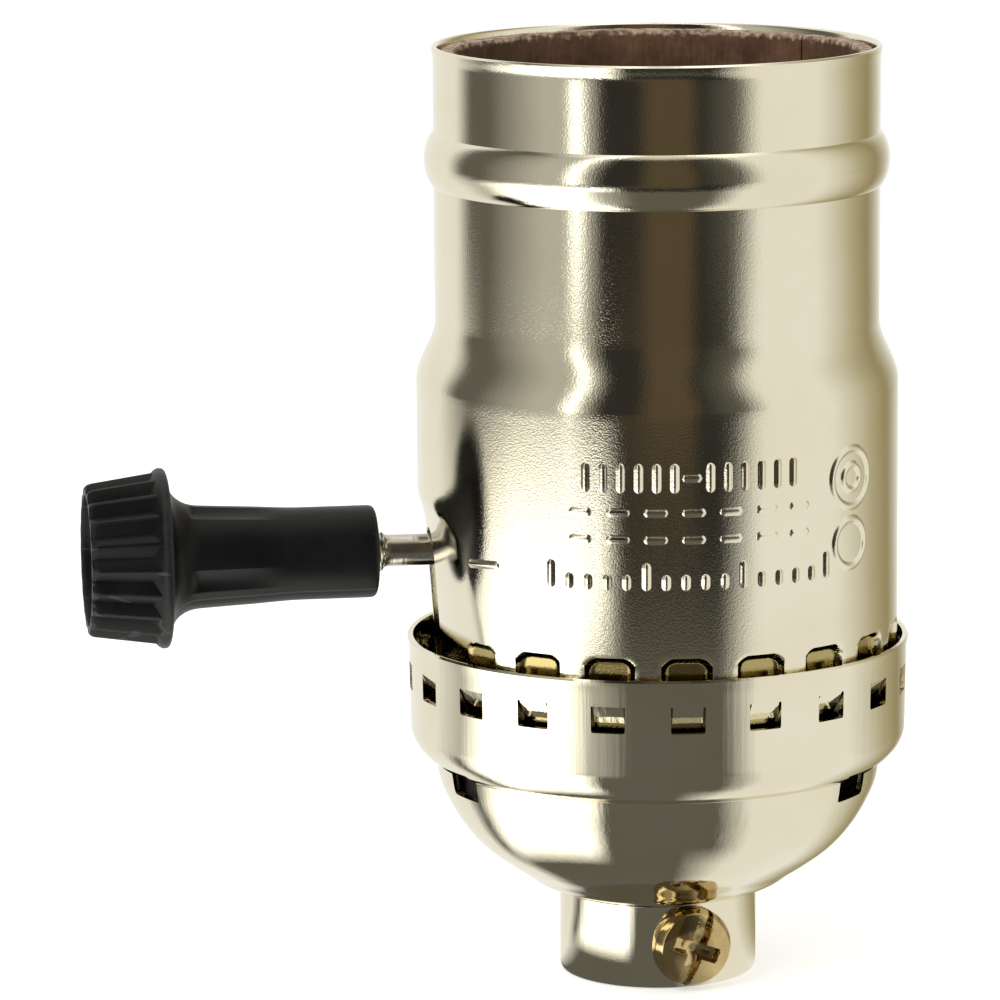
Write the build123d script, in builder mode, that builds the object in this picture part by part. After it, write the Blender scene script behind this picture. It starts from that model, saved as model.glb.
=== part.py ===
from build123d import *
import os
from math import cos, hypot, pi, radians, sin

# A medium-base lamp socket with a turn knob. Millimetres, +Z up along the socket's axis.
# The origin is the centre of the hub's lower face. The knob points along -X.

os.makedirs("parts", exist_ok=True)

# Lamp screw shell, a rolled knuckle thread
thread_minor_radius = 12.5
thread_major_radius = 13.25
thread_pitch = 3.63
thread_turns = 3.7
screw_shell_wall = 0.3
screw_shell_height = 20.5
thread_start = 4.8
screw_foot_height = 3.3
screw_foot_step = 0.2
thread_outer_share = 0.34
thread_inner_share = 0.30
screw_flange_inner = 8.6

# Fibre liner
liner_slide = 0.1
liner_wall = 0.95
liner_fit = 0.1
liner_recess = 0.2
liner_slot_width = 4.2
liner_seam_width = 0.25
liner_seam_angle = 33

# Outer shell, drawn from thin sheet
shell_wall = 0.4
shell_lift = 0.1
shell_height = 46.5
lip_flare = 0.12
lip_height = 1.0
bead_drop = 5.8
bead_height = 3.7
bead_rise = 0.65
shoulder_drop = 18.6
shoulder_height = 4.1
shoulder_step = 1.3

# Pockets round the shell's lower end, and the windows in line with them
pocket_count = 20
pocket_angle = -93.4
pocket_width = 3.4
pocket_depth = 0.6
pocket_height = 7.5
pocket_corner = 0.9

# Broad dish pressed into the side, and the slot for the shaft
dish_curve = 25.0
dish_half_width = 9.0
dish_rise = 4.0
dish_step_height = 2.3
dish_step_depth = 0.62
dish_slope = 0.075
slot_width = 3.0

# Hub, threaded inside for lamp pipe
hub_height = 5.0
hub_radius = 6.75
hub_edge = 0.35
pipe_radius = 4.75
spigot_radius = 5.6
peen_radius = 6.1
peen_height = 0.5

# Cap
cap_wall = 0.4
cap_floor_radius = 6.4
cap_step = 0.7
cap_step_width = 0.6
cap_step_lean = 0.6
bowl_start_slope = 0.25
bowl_low_width = 0.68
bowl_low_height = 0.29
bowl_low_lean = 0.5
bowl_high_width = 0.885
bowl_high_height = 0.58
bowl_high_lean = 0.87
bowl_end_slope = 2.9
bowl_radius = 15.1
bowl_height = 9.3
neck_middle = 0.5
neck_lean = 0.8
neck_rise = 0.4
neck_height = 3.0
band_root = 0.3
band_height = 6.3
band_gap = 0.25
band_draft = 0.1
rim_flare = 0.15
rim_height = 0.9
window_width = 2.3
window_height = 1.9
window_drop = 1.7
tab_width = 2.0
tab_length = 1.2
tab_clearance = 0.2
tab_sink = 0.05
tab_root = 0.15
vent_count = 3
vent_angle = -40
vent_width = 3.4
vent_height = 2.0
vent_rise = 0.2

# Set screw in the hub
set_screw_angle = -82.5
set_screw_drop = 2.1
set_screw_radius = 2.05
set_head_radius = 2.55
set_head_height = 1.7
set_head_round = 0.8
set_slot_width = 0.8
set_slot_depth = 0.6
set_cross_width = 0.95
set_cross_length = 3.3
set_cross_depth = 1.0
set_cross_taper = 14
set_tip_gap = 0.15
set_slot_tilt = 69

# Moulded blocks
body_clearance = 0.65
body_height = 8.1
base_height = 8.4
shaft_height = 24.8
terminal_width = 11.2
terminal_inset = 3.4
terminal_ledge = 1.1
cavity_half_length = 6.4
cavity_side_gap = 0.9
cavity_clearance = 0.8
leg_wall = 2.3
leg_gap = 1.05
leg_span = 50
leg_foot_drop = 1.0
leg_overlap = 0.4
liner_seat_gap = 0.05

# Shaft and rotor
shaft_radius = 1.6
shaft_neck_radius = 1.075
shaft_thread_radius = 1.4
shaft_neck_start = 13.9
shaft_neck_length = 5.1
shaft_thread_length = 8.2
shaft_inner_end = 8.0
shaft_flat = 1.2
bearing_clearance = 0.06
bearing_end_gap = 0.3
rotor_half_length = 5.3
cam_half_side = 3.2
cam_corner_radius = 4.1
cam_length = 3.8
drum_radius = 2.9
ring_radius = 2.7
ring_groove_radius = 1.25
ring_thickness = 0.5
ring_offset = 0.1
ring_opening = 1.8
fit = 0.03
loose = 0.2
edge_break = 0.3

# Switch contacts
wing_radius = 4.7
wing_angle = 50
contact_ring_radius = 3.7
contact_offset = 3.0
contact_width = 2.0
contact_gap = 0.1
strip_thickness = 0.4
strip_width = 2.4
strip_reach = 2.0
strip_clearance = 0.1
rivet_radius = 0.9
rivet_head_radius = 1.3
rivet_head_height = 0.45
rivet_offset = 3.6
leaf_thickness = 0.3
leaf_width = 2.4
leaf_half_length = 5.3
leaf_touch_gap = 0.05
load_contact_gap = 0.4

# Centre contact in the lamp well
tongue_thickness = 0.4
tongue_width = 3.6
tongue_rise = 2.6
tongue_pad = 1.8
tongue_tip = 2.0
tongue_tip_drop = 0.6
tongue_bend = 0.8

# Terminals
plate_thickness = 0.6
plate_half_width = 4.0
plate_foot = 0.3
terminal_screw_radius = 2.0
terminal_head_radius = 3.9
terminal_head_height = 2.1
terminal_head_gap = 0.05
terminal_screw_rise = 4.0
terminal_screw_length = 3.1
terminal_slot_width = 0.9
terminal_slot_depth = 0.8
terminal_recess = 0.4
terminal_round = 0.6
screw_clearance = 0.06
strap_width = 6.0
strap_inset = 1.1
strap_gap = 0.05
strap_bend = 0.45
strap_side_gap = 0.2

# Screws and rivets that hold the blocks together
clamp_screw_x = 8.2
clamp_screw_y = 6.6
clamp_screw_radius = 1.2
clamp_head_radius = 2.1
clamp_head_height = 1.5
clamp_screw_length = 14.2
clamp_slot = 0.7
clamp_edge = 0.4
shell_rivet_radius = 1.0
shell_rivet_head = 1.7
shell_rivet_length = 5.0
shell_rivet_pitch = 10.6
shell_rivet_round = 0.3

# Knob
knob_gap = 0.5
knob_length = 19.6
knob_neck_radius = 3.14
knob_neck_length = 5.1
knob_neck_round = 0.25
knob_mid_radius = 3.32
knob_waist_radius = 3.49
knob_waist_slope = 0.06
knob_flare_radius = 4.8
knob_flare_slope = 2.6
knob_flare_length = 2.05
knob_flange_radius = 6.1
knob_flange_lean = 0.2
knob_flange_width = 0.53
knob_flange_round = 0.18
knob_bevel = 0.93
knob_crown_length = 4.82
knob_crown_base_radius = 5.87
knob_crown_end_radius = 5.17
knob_end_round = 0.42
knob_cup_radius = 4.4
knob_cup_depth = 1.15
knob_cup_draft = 0.1
knob_cup_round = 0.5
knob_flute_count = 20
knob_flute_depth = 0.45
knob_flute_turn = 11.3
knob_flute_overrun = 0.4
neck_flute_count = 4
neck_flute_radius = 1.5
neck_flute_depth = 0.28
neck_flute_length = 6.3
neck_flute_run = 0.6
neck_flute_turn = 71
insert_radius = 2.1
insert_length = 8.0
insert_relief = 0.8

# Radii that follow from the lamp thread outwards
screw_shell_radius = thread_major_radius + screw_shell_wall
liner_inner = screw_shell_radius + liner_slide
liner_outer = liner_inner + liner_wall
upper_radius = liner_outer + liner_fit + shell_wall
lower_radius = upper_radius + shoulder_step
band_inner = lower_radius + band_gap
band_radius = band_inner + cap_wall
body_radius = liner_inner - body_clearance
terminal_face = body_radius - terminal_inset

# Heights that follow from the hub upwards
cap_floor = hub_height
neck_z = cap_floor + bowl_height
band_z = neck_z + neck_height
rim_z = band_z + band_height
shell_bottom = band_z + shell_lift
shell_top = shell_bottom + shell_height
shaft_z = cap_floor + shaft_height
body_top = shaft_z + body_height
base_bottom = shaft_z - base_height
cavity_half_width = wing_radius + cavity_side_gap
finger_top = shaft_z - wing_radius - contact_gap
finger_z = finger_top - strip_thickness
cavity_bottom = finger_z - cavity_clearance
load_bottom = shaft_z + wing_radius + contact_gap
cavity_top = load_bottom + strip_thickness
terminal_z = base_bottom + terminal_screw_rise
ledge_z = shaft_z + terminal_ledge
window_top = rim_z - window_drop
window_bottom = window_top - window_height
pocket_top = shell_bottom + pocket_height
leg_top = base_bottom + leg_overlap
leg_outer = bowl_radius - leg_gap
leg_bottom = neck_z - leg_foot_drop
liner_bottom = leg_top + liner_seat_gap
set_screw_z = hub_height - set_screw_drop
knob_x = -(shaft_neck_start + shaft_neck_length + knob_gap)

shaft_axis = Axis((0, 0, shaft_z), (1, 0, 0))


def dish_section(height, depth, inset):
    """The space outside the flattened side at one height, pressed in by depth."""
    with BuildSketch(Plane.XY.offset(height)) as section:
        with Locations((-lower_radius, 0)):
            Rectangle(dish_half_width, 2 * dish_half_width)
        with Locations((dish_curve - lower_radius + depth, 0)):
            Circle(dish_curve - inset, mode=Mode.SUBTRACT)
    return section.sketch


def dish_depth(height):
    """Depth of the dish below its step, in the middle of the side."""
    return dish_step_depth + dish_slope * (shaft_z + dish_rise - dish_step_height - height)


def dish_tool(inset):
    """The dish's space: a quick step in at its top, then a gentle slope down to the shell's end."""
    step_slope = dish_step_depth / dish_step_height
    step_top = shaft_z + dish_rise
    step_bottom = step_top - dish_step_height
    low = shell_bottom - 2
    with BuildPart() as tool:
        add(dish_section(step_top + 1, -step_slope, inset))
        add(dish_section(step_bottom, dish_step_depth, inset))
        loft(ruled=True)
        add(dish_section(step_bottom, dish_step_depth, inset))
        add(dish_section(low, dish_depth(low), inset))
        loft(ruled=True)
    return tool.part


def shell_outline(inset, extra):
    """Half section of the shell's outer form, inset by the sheet's thickness and longer by extra."""
    upper = upper_radius - inset
    lower = lower_radius - inset
    bead_top = shell_top - bead_drop
    bead_bottom = bead_top - bead_height
    shoulder_top = shell_top - shoulder_drop
    shoulder_bottom = shoulder_top - shoulder_height
    with BuildLine() as outline:
        Polyline((0, shell_bottom - extra), (lower, shell_bottom - extra), (lower, shoulder_bottom))
        Spline((lower, shoulder_bottom), (upper, shoulder_top), tangents=[(0, 1), (0, 1)])
        Line((upper, shoulder_top), (upper, bead_bottom))
        ThreePointArc(
            (upper, bead_bottom),
            (upper + bead_rise, bead_bottom + 0.5 * bead_height),
            (upper, bead_top),
        )
        Polyline(
            (upper, bead_top),
            (upper, shell_top - lip_height),
            (upper + lip_flare, shell_top + extra),
            (0, shell_top + extra),
            (0, shell_bottom - extra),
        )
    make_face(outline.edges())


def pocket_tool(grow):
    """One pocket's space outside its floor: a tall rounded window, grown by the sheet's thickness."""
    floor = lower_radius - pocket_depth - grow
    low = shell_bottom - 3
    high = pocket_top + grow
    with BuildPart() as tool:
        with BuildSketch(Plane.YZ.offset(floor)):
            with Locations((0, (low + high) / 2)):
                Rectangle(pocket_width + 2 * grow, high - low)
            fillet(vertices().group_by(Axis.Y)[-1], pocket_corner)
        extrude(amount=pocket_depth + grow + 2)
    return tool.part


def shell_form(inset, extra):
    """The shell's outer form as one solid, with pockets and dish, inset by the sheet's thickness."""
    pocket = pocket_tool(inset)
    dish = dish_tool(inset)
    with BuildPart() as form:
        with BuildSketch(Plane.XZ):
            shell_outline(inset, extra)
        revolve(axis=Axis.Z)
        add(dish, mode=Mode.SUBTRACT)
        with PolarLocations(0, pocket_count, start_angle=pocket_angle):
            add(pocket, mode=Mode.SUBTRACT)
    return form.part


def slot_sketch(width, leg):
    """A slot with a round end at the shaft and straight sides downwards."""
    Circle(width / 2)
    with Locations((0, -leg / 2)):
        Rectangle(width, leg)


# Outer shell: the outer form less the same form inset by the sheet's thickness
slot_leg = shaft_z - shell_bottom + 1
shell_outer_form = shell_form(0, 0)
shell_hollow = shell_form(shell_wall, 1)
slot_plane = Plane(origin=(-liner_outer + 1, 0, shaft_z), x_dir=(0, -1, 0), z_dir=(-1, 0, 0))
with BuildPart() as outer_shell:
    add(shell_outer_form)
    add(shell_hollow, mode=Mode.SUBTRACT)
    with BuildSketch(slot_plane):
        slot_sketch(slot_width, slot_leg)
    extrude(amount=lower_radius, mode=Mode.SUBTRACT)
outer_shell.part.label = "outer_shell"
export_step(outer_shell.part, "parts/outer_shell.step")

# Fibre liner, a tube with a butted seam and its own slot
liner_top = shell_top - liner_recess
with BuildPart() as insulating_liner:
    with BuildSketch(Plane.XY.offset(liner_bottom)):
        Circle(liner_outer)
        Circle(liner_inner, mode=Mode.SUBTRACT)
    extrude(amount=liner_top - liner_bottom)
    with BuildSketch(Plane(origin=(-liner_inner + 1, 0, shaft_z), x_dir=(0, -1, 0), z_dir=(-1, 0, 0))):
        slot_sketch(liner_slot_width, slot_leg)
    extrude(amount=3, mode=Mode.SUBTRACT)
    with BuildSketch(Plane.XY.offset(liner_bottom).rotated((0, 0, liner_seam_angle))):
        with Locations(((liner_inner + liner_outer) / 2, 0)):
            Rectangle(3 * liner_wall, liner_seam_width)
    extrude(amount=liner_top - liner_bottom, mode=Mode.SUBTRACT)
insulating_liner.part.label = "insulating_liner"
export_step(insulating_liner.part, "parts/insulating_liner.step")

# Cap: floor, bowl, neck and crimp band as one sheet, revolved
with BuildPart() as tab:
    tab_foot = lower_radius - pocket_depth + tab_clearance
    with BuildSketch(Plane.XZ):
        with BuildLine():
            Polyline(
                (band_radius - tab_sink, window_top + tab_root),
                (band_inner, window_top + tab_root),
                (tab_foot, window_top - tab_length),
                (tab_foot + cap_wall - tab_sink, window_top - tab_length - tab_sink),
                (band_radius - tab_sink, window_top - 2 * tab_sink),
                close=True,
            )
        make_face()
    extrude(amount=tab_width / 2, both=True)


def cap_form(inset, extra):
    """The cap's outer form as one solid, inset by the sheet's thickness and taller by extra."""
    floor = cap_floor + inset
    foot = cap_floor_radius + cap_step_width
    step = cap_step_lean * inset
    low_r = bowl_low_width * bowl_radius - bowl_low_lean * inset
    low_z = cap_floor + bowl_low_height * bowl_height + bowl_high_lean * inset
    high_r = bowl_high_width * bowl_radius - bowl_high_lean * inset
    high_z = cap_floor + bowl_high_height * bowl_height + bowl_low_lean * inset
    neck_r = (bowl_radius + band_radius) / 2 - neck_lean * inset
    neck_mid = neck_z + neck_middle * neck_height + neck_rise * inset
    root_r = band_radius - band_draft - inset
    root_z = band_z + band_root * inset
    with BuildPart() as form:
        with BuildSketch(Plane.XZ):
            with BuildLine():
                Polyline((0, floor), (cap_floor_radius - step, floor), (foot - step, floor + cap_step))
                Spline(
                    (foot - step, floor + cap_step),
                    (low_r, low_z),
                    (high_r, high_z),
                    (bowl_radius - inset, neck_z),
                    tangents=[(1, bowl_start_slope), (1, bowl_end_slope)],
                )
                Spline(
                    (bowl_radius - inset, neck_z),
                    (neck_r, neck_mid),
                    (root_r, root_z),
                    tangents=[(1, bowl_end_slope), (0, 1)],
                )
                Polyline(
                    (root_r, root_z),
                    (band_radius - inset, rim_z - rim_height),
                    (band_radius - inset + rim_flare, rim_z + extra),
                    (0, rim_z + extra),
                    (0, floor),
                )
            make_face()
        revolve(axis=Axis.Z)
    return form.part


cap_outer_form = cap_form(0, 0)
cap_hollow = cap_form(cap_wall, 1)
with BuildPart() as cap:
    add(cap_outer_form)
    add(cap_hollow, mode=Mode.SUBTRACT)
    with BuildSketch(Plane.XY.offset(cap_floor - 1)):
        Circle(spigot_radius + fit)
    extrude(amount=3, mode=Mode.SUBTRACT)
    with PolarLocations(0, pocket_count, start_angle=pocket_angle):
        with Locations((band_inner, 0, (window_top + window_bottom) / 2)):
            Box(3, window_width, window_height, mode=Mode.SUBTRACT)
    with PolarLocations(0, pocket_count, start_angle=pocket_angle):
        add(tab.part)
    with PolarLocations(0, vent_count, start_angle=vent_angle):
        with Locations((bowl_radius, 0, neck_z + vent_rise)):
            Box(6, vent_width, vent_height, mode=Mode.SUBTRACT)
cap.part.label = "cap"
export_step(cap.part, "parts/cap.step")

# Hub: a turned bushing, its spigot peened over the cap's floor
set_screw_plane = Plane(
    origin=(0, 0, set_screw_z),
    x_dir=(-sin(radians(set_screw_angle)), cos(radians(set_screw_angle)), 0),
    z_dir=(cos(radians(set_screw_angle)), sin(radians(set_screw_angle)), 0),
)
with BuildPart() as hub:
    with BuildSketch(Plane.XZ):
        with BuildLine():
            Polyline(
                (pipe_radius, 0),
                (hub_radius - hub_edge, 0),
                (hub_radius, hub_edge),
                (hub_radius, hub_height),
                (spigot_radius, hub_height),
                (spigot_radius, cap_floor + cap_wall),
                (peen_radius, cap_floor + cap_wall),
                (spigot_radius, cap_floor + cap_wall + peen_height),
                (pipe_radius, cap_floor + cap_wall + peen_height),
                close=True,
            )
        make_face()
    revolve(axis=Axis.Z)
    with BuildSketch(set_screw_plane):
        Circle(set_screw_radius + screw_clearance)
    extrude(amount=hub_radius + 1, mode=Mode.SUBTRACT)
hub.part.label = "hub"
export_step(hub.part, "parts/hub.step")

# Set screw, its tip just short of the pipe's bore
with BuildPart() as set_screw:
    with BuildSketch(set_screw_plane.offset(pipe_radius + set_tip_gap)):
        Circle(set_screw_radius)
    extrude(amount=hub_radius - pipe_radius)
    with BuildSketch(set_screw_plane.offset(hub_radius + terminal_head_gap)):
        Circle(set_head_radius)
    extrude(amount=set_head_height)
    head_face = faces().sort_by(Axis((0, 0, 0), set_screw_plane.z_dir))[-1]
    fillet(head_face.edges(), set_head_round)
    head_top = set_screw_plane.offset(hub_radius + terminal_head_gap + set_head_height)
    with BuildSketch(head_top):
        with Locations(Rotation(0, 0, set_slot_tilt)):
            Rectangle(3 * set_head_radius, set_slot_width)
    extrude(amount=-set_slot_depth, mode=Mode.SUBTRACT)
    with BuildSketch(head_top):
        with Locations(Rotation(0, 0, set_slot_tilt)):
            Rectangle(set_cross_length, set_cross_width)
            Rectangle(set_cross_width, set_cross_length)
    extrude(amount=-set_cross_depth, taper=set_cross_taper, mode=Mode.SUBTRACT)
set_screw.part.label = "set_screw"
export_step(set_screw.part, "parts/set_screw.step")

# Upper block: floor of the lamp well above, roof of the switch cavity below
block_screws = [(-clamp_screw_x, clamp_screw_y), (clamp_screw_x, -clamp_screw_y)]
bearing_length = shaft_inner_end + bearing_end_gap + body_radius
bearing_middle = (shaft_inner_end + bearing_end_gap - body_radius) / 2
rivet_x = contact_offset + strip_width / 2
groove_face = body_radius - strap_inset
clamp_top = base_bottom + clamp_screw_length
with BuildPart() as socket_body:
    with BuildSketch(Plane.XY.offset(shaft_z)):
        Circle(body_radius)
    extrude(amount=body_height)
    with BuildSketch(Plane.XY.offset(shaft_z)):
        Rectangle(2 * cavity_half_length, 2 * cavity_half_width)
    extrude(amount=cavity_top - shaft_z, mode=Mode.SUBTRACT)
    with BuildSketch(Plane.XY.offset(shaft_z)):
        with Locations((0, terminal_face + body_radius / 2), (0, -terminal_face - body_radius / 2)):
            Rectangle(terminal_width, body_radius)
    extrude(amount=terminal_ledge, mode=Mode.SUBTRACT)
    with BuildSketch(Plane.XY.offset(shaft_z)):
        with Locations((0, -groove_face + strap_gap - body_radius / 2)):
            Rectangle(strap_width + 2 * strap_side_gap, body_radius)
    extrude(amount=body_height, mode=Mode.SUBTRACT)
    with BuildSketch(Plane.XY.offset(body_top)):
        with Locations((0, -screw_flange_inner - body_radius / 2 + strip_clearance)):
            Rectangle(strap_width + 2 * strap_side_gap, body_radius)
    extrude(amount=-plate_thickness - strap_gap, mode=Mode.SUBTRACT)
    with BuildSketch(Plane.XY.offset(shaft_z)):
        with Locations(*block_screws):
            Circle(clamp_screw_radius + fit)
    extrude(amount=clamp_top - shaft_z + loose, mode=Mode.SUBTRACT)
    with BuildSketch(Plane.XY.offset(cavity_top)):
        with Locations((rivet_x, rivet_offset)):
            Circle(rivet_radius + fit)
    extrude(amount=body_top - cavity_top, mode=Mode.SUBTRACT)
    with BuildSketch(Plane.XY.offset(body_top)):
        with Locations((0, shell_rivet_pitch), (0, -shell_rivet_pitch)):
            Circle(shell_rivet_radius + fit)
    extrude(amount=-shell_rivet_length - loose, mode=Mode.SUBTRACT)
    with Locations((bearing_middle, 0, shaft_z)):
        Cylinder(
            shaft_radius + bearing_clearance,
            bearing_length,
            rotation=(0, 90, 0),
            mode=Mode.SUBTRACT,
        )
socket_body.part.label = "socket_body"
export_step(socket_body.part, "parts/socket_body.step")

# Lower block: switch cavity, terminal flats, and two legs that stand in the cap's bowl
with BuildPart() as switch_base:
    with BuildSketch(Plane.XY.offset(base_bottom)):
        Circle(body_radius)
    extrude(amount=base_height)
    with BuildSketch(Plane.XY.offset(leg_bottom)):
        for side in (0, 180):
            with BuildLine() as leg_outline:
                half = leg_span / 2
                CenterArc((0, 0), leg_outer, side - half, leg_span)
                CenterArc((0, 0), leg_outer - leg_wall, side - half, leg_span)
                for edge_angle in (side - half, side + half):
                    PolarLine((0, 0), leg_outer, angle=edge_angle)
            make_face(leg_outline.edges())
        Circle(leg_outer - leg_wall, mode=Mode.SUBTRACT)
    extrude(amount=leg_top - leg_bottom)
    with BuildSketch(Plane.XY.offset(cavity_bottom)):
        Rectangle(2 * cavity_half_length, 2 * cavity_half_width)
    extrude(amount=shaft_z - cavity_bottom, mode=Mode.SUBTRACT)
    with BuildSketch(Plane.XY.offset(base_bottom)):
        with Locations((0, terminal_face + body_radius / 2), (0, -terminal_face - body_radius / 2)):
            Rectangle(terminal_width, body_radius)
    extrude(amount=base_height, mode=Mode.SUBTRACT)
    with BuildSketch(Plane.XY.offset(base_bottom)):
        with Locations(*block_screws):
            Circle(clamp_screw_radius + fit)
    extrude(amount=base_height, mode=Mode.SUBTRACT)
    for facing in (1, -1):
        with BuildSketch(Plane(origin=(0, facing * terminal_face, terminal_z), z_dir=(0, -facing, 0))):
            Circle(terminal_screw_radius + terminal_recess)
        extrude(amount=terminal_screw_length - plate_thickness + loose, mode=Mode.SUBTRACT)
    with Locations((contact_offset + contact_width / 2, terminal_face, finger_top - strip_thickness / 2)):
        Box(
            contact_width + 2 * strip_clearance,
            2 * (terminal_face - cavity_half_width + 1),
            strip_thickness + 2 * strip_clearance,
            mode=Mode.SUBTRACT,
        )
    with Locations((bearing_middle, 0, shaft_z)):
        Cylinder(
            shaft_radius + bearing_clearance,
            bearing_length,
            rotation=(0, 90, 0),
            mode=Mode.SUBTRACT,
        )
switch_base.part.label = "switch_base"
export_step(switch_base.part, "parts/switch_base.step")

# Screws that clamp the blocks together, put in from below
with BuildPart() as assembly_screws:
    with BuildSketch(Plane.XY.offset(base_bottom)):
        with Locations(*block_screws):
            Circle(clamp_screw_radius)
    extrude(amount=clamp_screw_length)
    with BuildSketch(Plane.XY.offset(base_bottom)):
        with Locations(*block_screws):
            Circle(clamp_head_radius)
    extrude(amount=-clamp_head_height)
    chamfer(edges().filter_by(GeomType.CIRCLE).group_by(Axis.Z)[0], clamp_edge)
    with BuildSketch(Plane.XY.offset(base_bottom - clamp_head_height)):
        with Locations(*block_screws):
            Rectangle(3 * clamp_head_radius, clamp_slot)
    extrude(amount=clamp_slot, mode=Mode.SUBTRACT)
assembly_screws.part.label = "assembly_screws"
export_step(assembly_screws.part, "parts/assembly_screws.step")

# Screw shell: a thin tube at the thread's crests, with its helical groove pressed outwards
thread_z = body_top + thread_start


def thread_roll(crest, root, half_height):
    """A helical roll whose section bulges from the crest radius out to the root radius."""
    section = Plane(origin=(thread_minor_radius, 0, thread_z), x_dir=(1, 0, 0), z_dir=(0, -1, 0))
    with BuildPart() as roll:
        with BuildLine():
            Helix(
                pitch=thread_pitch,
                height=thread_turns * thread_pitch,
                radius=thread_minor_radius,
                center=(0, 0, thread_z),
            )
        with BuildSketch(section):
            with BuildLine():
                inner = crest - thread_minor_radius
                outer = root - thread_minor_radius
                ThreePointArc((inner, -half_height), (outer, 0), (inner, half_height))
                Line((inner, half_height), (inner, -half_height))
            make_face()
        sweep(is_frenet=True)
    return roll.part


outer_roll = thread_roll(
    thread_minor_radius + screw_shell_wall / 2, screw_shell_radius, thread_outer_share * thread_pitch
)
inner_roll = thread_roll(
    thread_minor_radius - screw_shell_wall / 2, thread_major_radius, thread_inner_share * thread_pitch
)
foot_top = body_top + screw_foot_height
foot_inner = thread_minor_radius - screw_foot_step
with BuildPart() as screw_shell:
    with BuildSketch(Plane.XY.offset(body_top)):
        Circle(foot_inner + screw_shell_wall)
    extrude(amount=screw_shell_height)
    with BuildSketch(Plane.XY.offset(foot_top - screw_shell_wall)):
        Circle(thread_minor_radius + screw_shell_wall)
    extrude(amount=body_top + screw_shell_height - foot_top + screw_shell_wall)
    add(outer_roll)
    with BuildSketch(Plane.XY.offset(body_top + screw_shell_wall)):
        Circle(foot_inner)
    extrude(amount=screw_shell_height, mode=Mode.SUBTRACT)
    with BuildSketch(Plane.XY.offset(foot_top)):
        Circle(thread_minor_radius)
    extrude(amount=screw_shell_height, mode=Mode.SUBTRACT)
    add(inner_roll, mode=Mode.SUBTRACT)
    with BuildSketch(Plane.XY.offset(body_top)):
        Circle(screw_flange_inner)
        with Locations((0, shell_rivet_pitch), (0, -shell_rivet_pitch)):
            Circle(shell_rivet_radius + fit)
    extrude(amount=screw_shell_wall, mode=Mode.SUBTRACT)
screw_shell.part.label = "screw_shell"
export_step(screw_shell.part, "parts/screw_shell.step")

# Pins that hold the screw shell's floor down on the body
with BuildPart() as shell_rivets:
    with BuildSketch(Plane.XY.offset(body_top + screw_shell_wall)):
        with Locations((0, shell_rivet_pitch), (0, -shell_rivet_pitch)):
            Circle(shell_rivet_radius)
    extrude(amount=-shell_rivet_length - screw_shell_wall)
    with BuildSketch(Plane.XY.offset(body_top + screw_shell_wall)):
        with Locations((0, shell_rivet_pitch), (0, -shell_rivet_pitch)):
            Circle(shell_rivet_head)
    extrude(amount=rivet_head_height)
    fillet(edges().filter_by(GeomType.CIRCLE).group_by(Axis.Z)[-1], shell_rivet_round)
shell_rivets.part.label = "shell_rivets"
export_step(shell_rivets.part, "parts/shell_rivets.step")

# Neutral strap: from under the screw shell's floor, down the body's groove, in to the terminal flat
strap_mid = plate_thickness / 2
strap_out = -(groove_face + strap_mid)
strap_in = -(terminal_face + strap_mid)
neutral_plane = Plane(origin=(0, -terminal_face, terminal_z), x_dir=(1, 0, 0), z_dir=(0, -1, 0))
with BuildPart() as neutral_strap:
    with BuildSketch(Plane.YZ):
        with BuildLine() as strap_line:
            FilletPolyline(
                (-screw_flange_inner, body_top - strap_mid),
                (strap_out, body_top - strap_mid),
                (strap_out, ledge_z - strap_gap - strap_mid),
                (strap_in, ledge_z - strap_gap - strap_mid),
                (strap_in, base_bottom + plate_foot),
                radius=strap_bend,
            )
        trace(strap_line.edges(), plate_thickness)
    extrude(amount=strap_width / 2, both=True)
    with BuildSketch(neutral_plane):
        Rectangle(2 * plate_half_width, 2 * (terminal_z - base_bottom - plate_foot))
    extrude(amount=plate_thickness)
    with BuildSketch(neutral_plane):
        Circle(terminal_screw_radius + screw_clearance)
    extrude(amount=plate_thickness, mode=Mode.SUBTRACT)
    with BuildSketch(Plane.XY.offset(body_top)):
        with Locations((0, -shell_rivet_pitch)):
            Circle(shell_rivet_radius + fit)
    extrude(amount=-plate_thickness, mode=Mode.SUBTRACT)
neutral_strap.part.label = "neutral_strap"
export_step(neutral_strap.part, "parts/neutral_strap.step")

# Hot terminal plate, with the lower switch finger bent in through the base
with BuildPart() as hot_terminal_plate:
    with BuildSketch(Plane(origin=(0, terminal_face, 0), x_dir=(1, 0, 0), z_dir=(0, -1, 0))):
        with Locations((0, (base_bottom + plate_foot + ledge_z - plate_foot) / 2)):
            Rectangle(2 * (contact_offset + contact_width), ledge_z - base_bottom - 2 * plate_foot)
        with Locations((0, terminal_z)):
            Circle(terminal_screw_radius + screw_clearance, mode=Mode.SUBTRACT)
    extrude(amount=-plate_thickness)
    with BuildSketch(Plane.XY.offset(finger_z)):
        with Locations((contact_offset + contact_width / 2, (terminal_face - strip_reach) / 2)):
            Rectangle(contact_width - 2 * strip_clearance, terminal_face + strip_reach + loose)
    extrude(amount=strip_thickness)
hot_terminal_plate.part.label = "hot_terminal_plate"
export_step(hot_terminal_plate.part, "parts/hot_terminal_plate.step")


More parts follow.
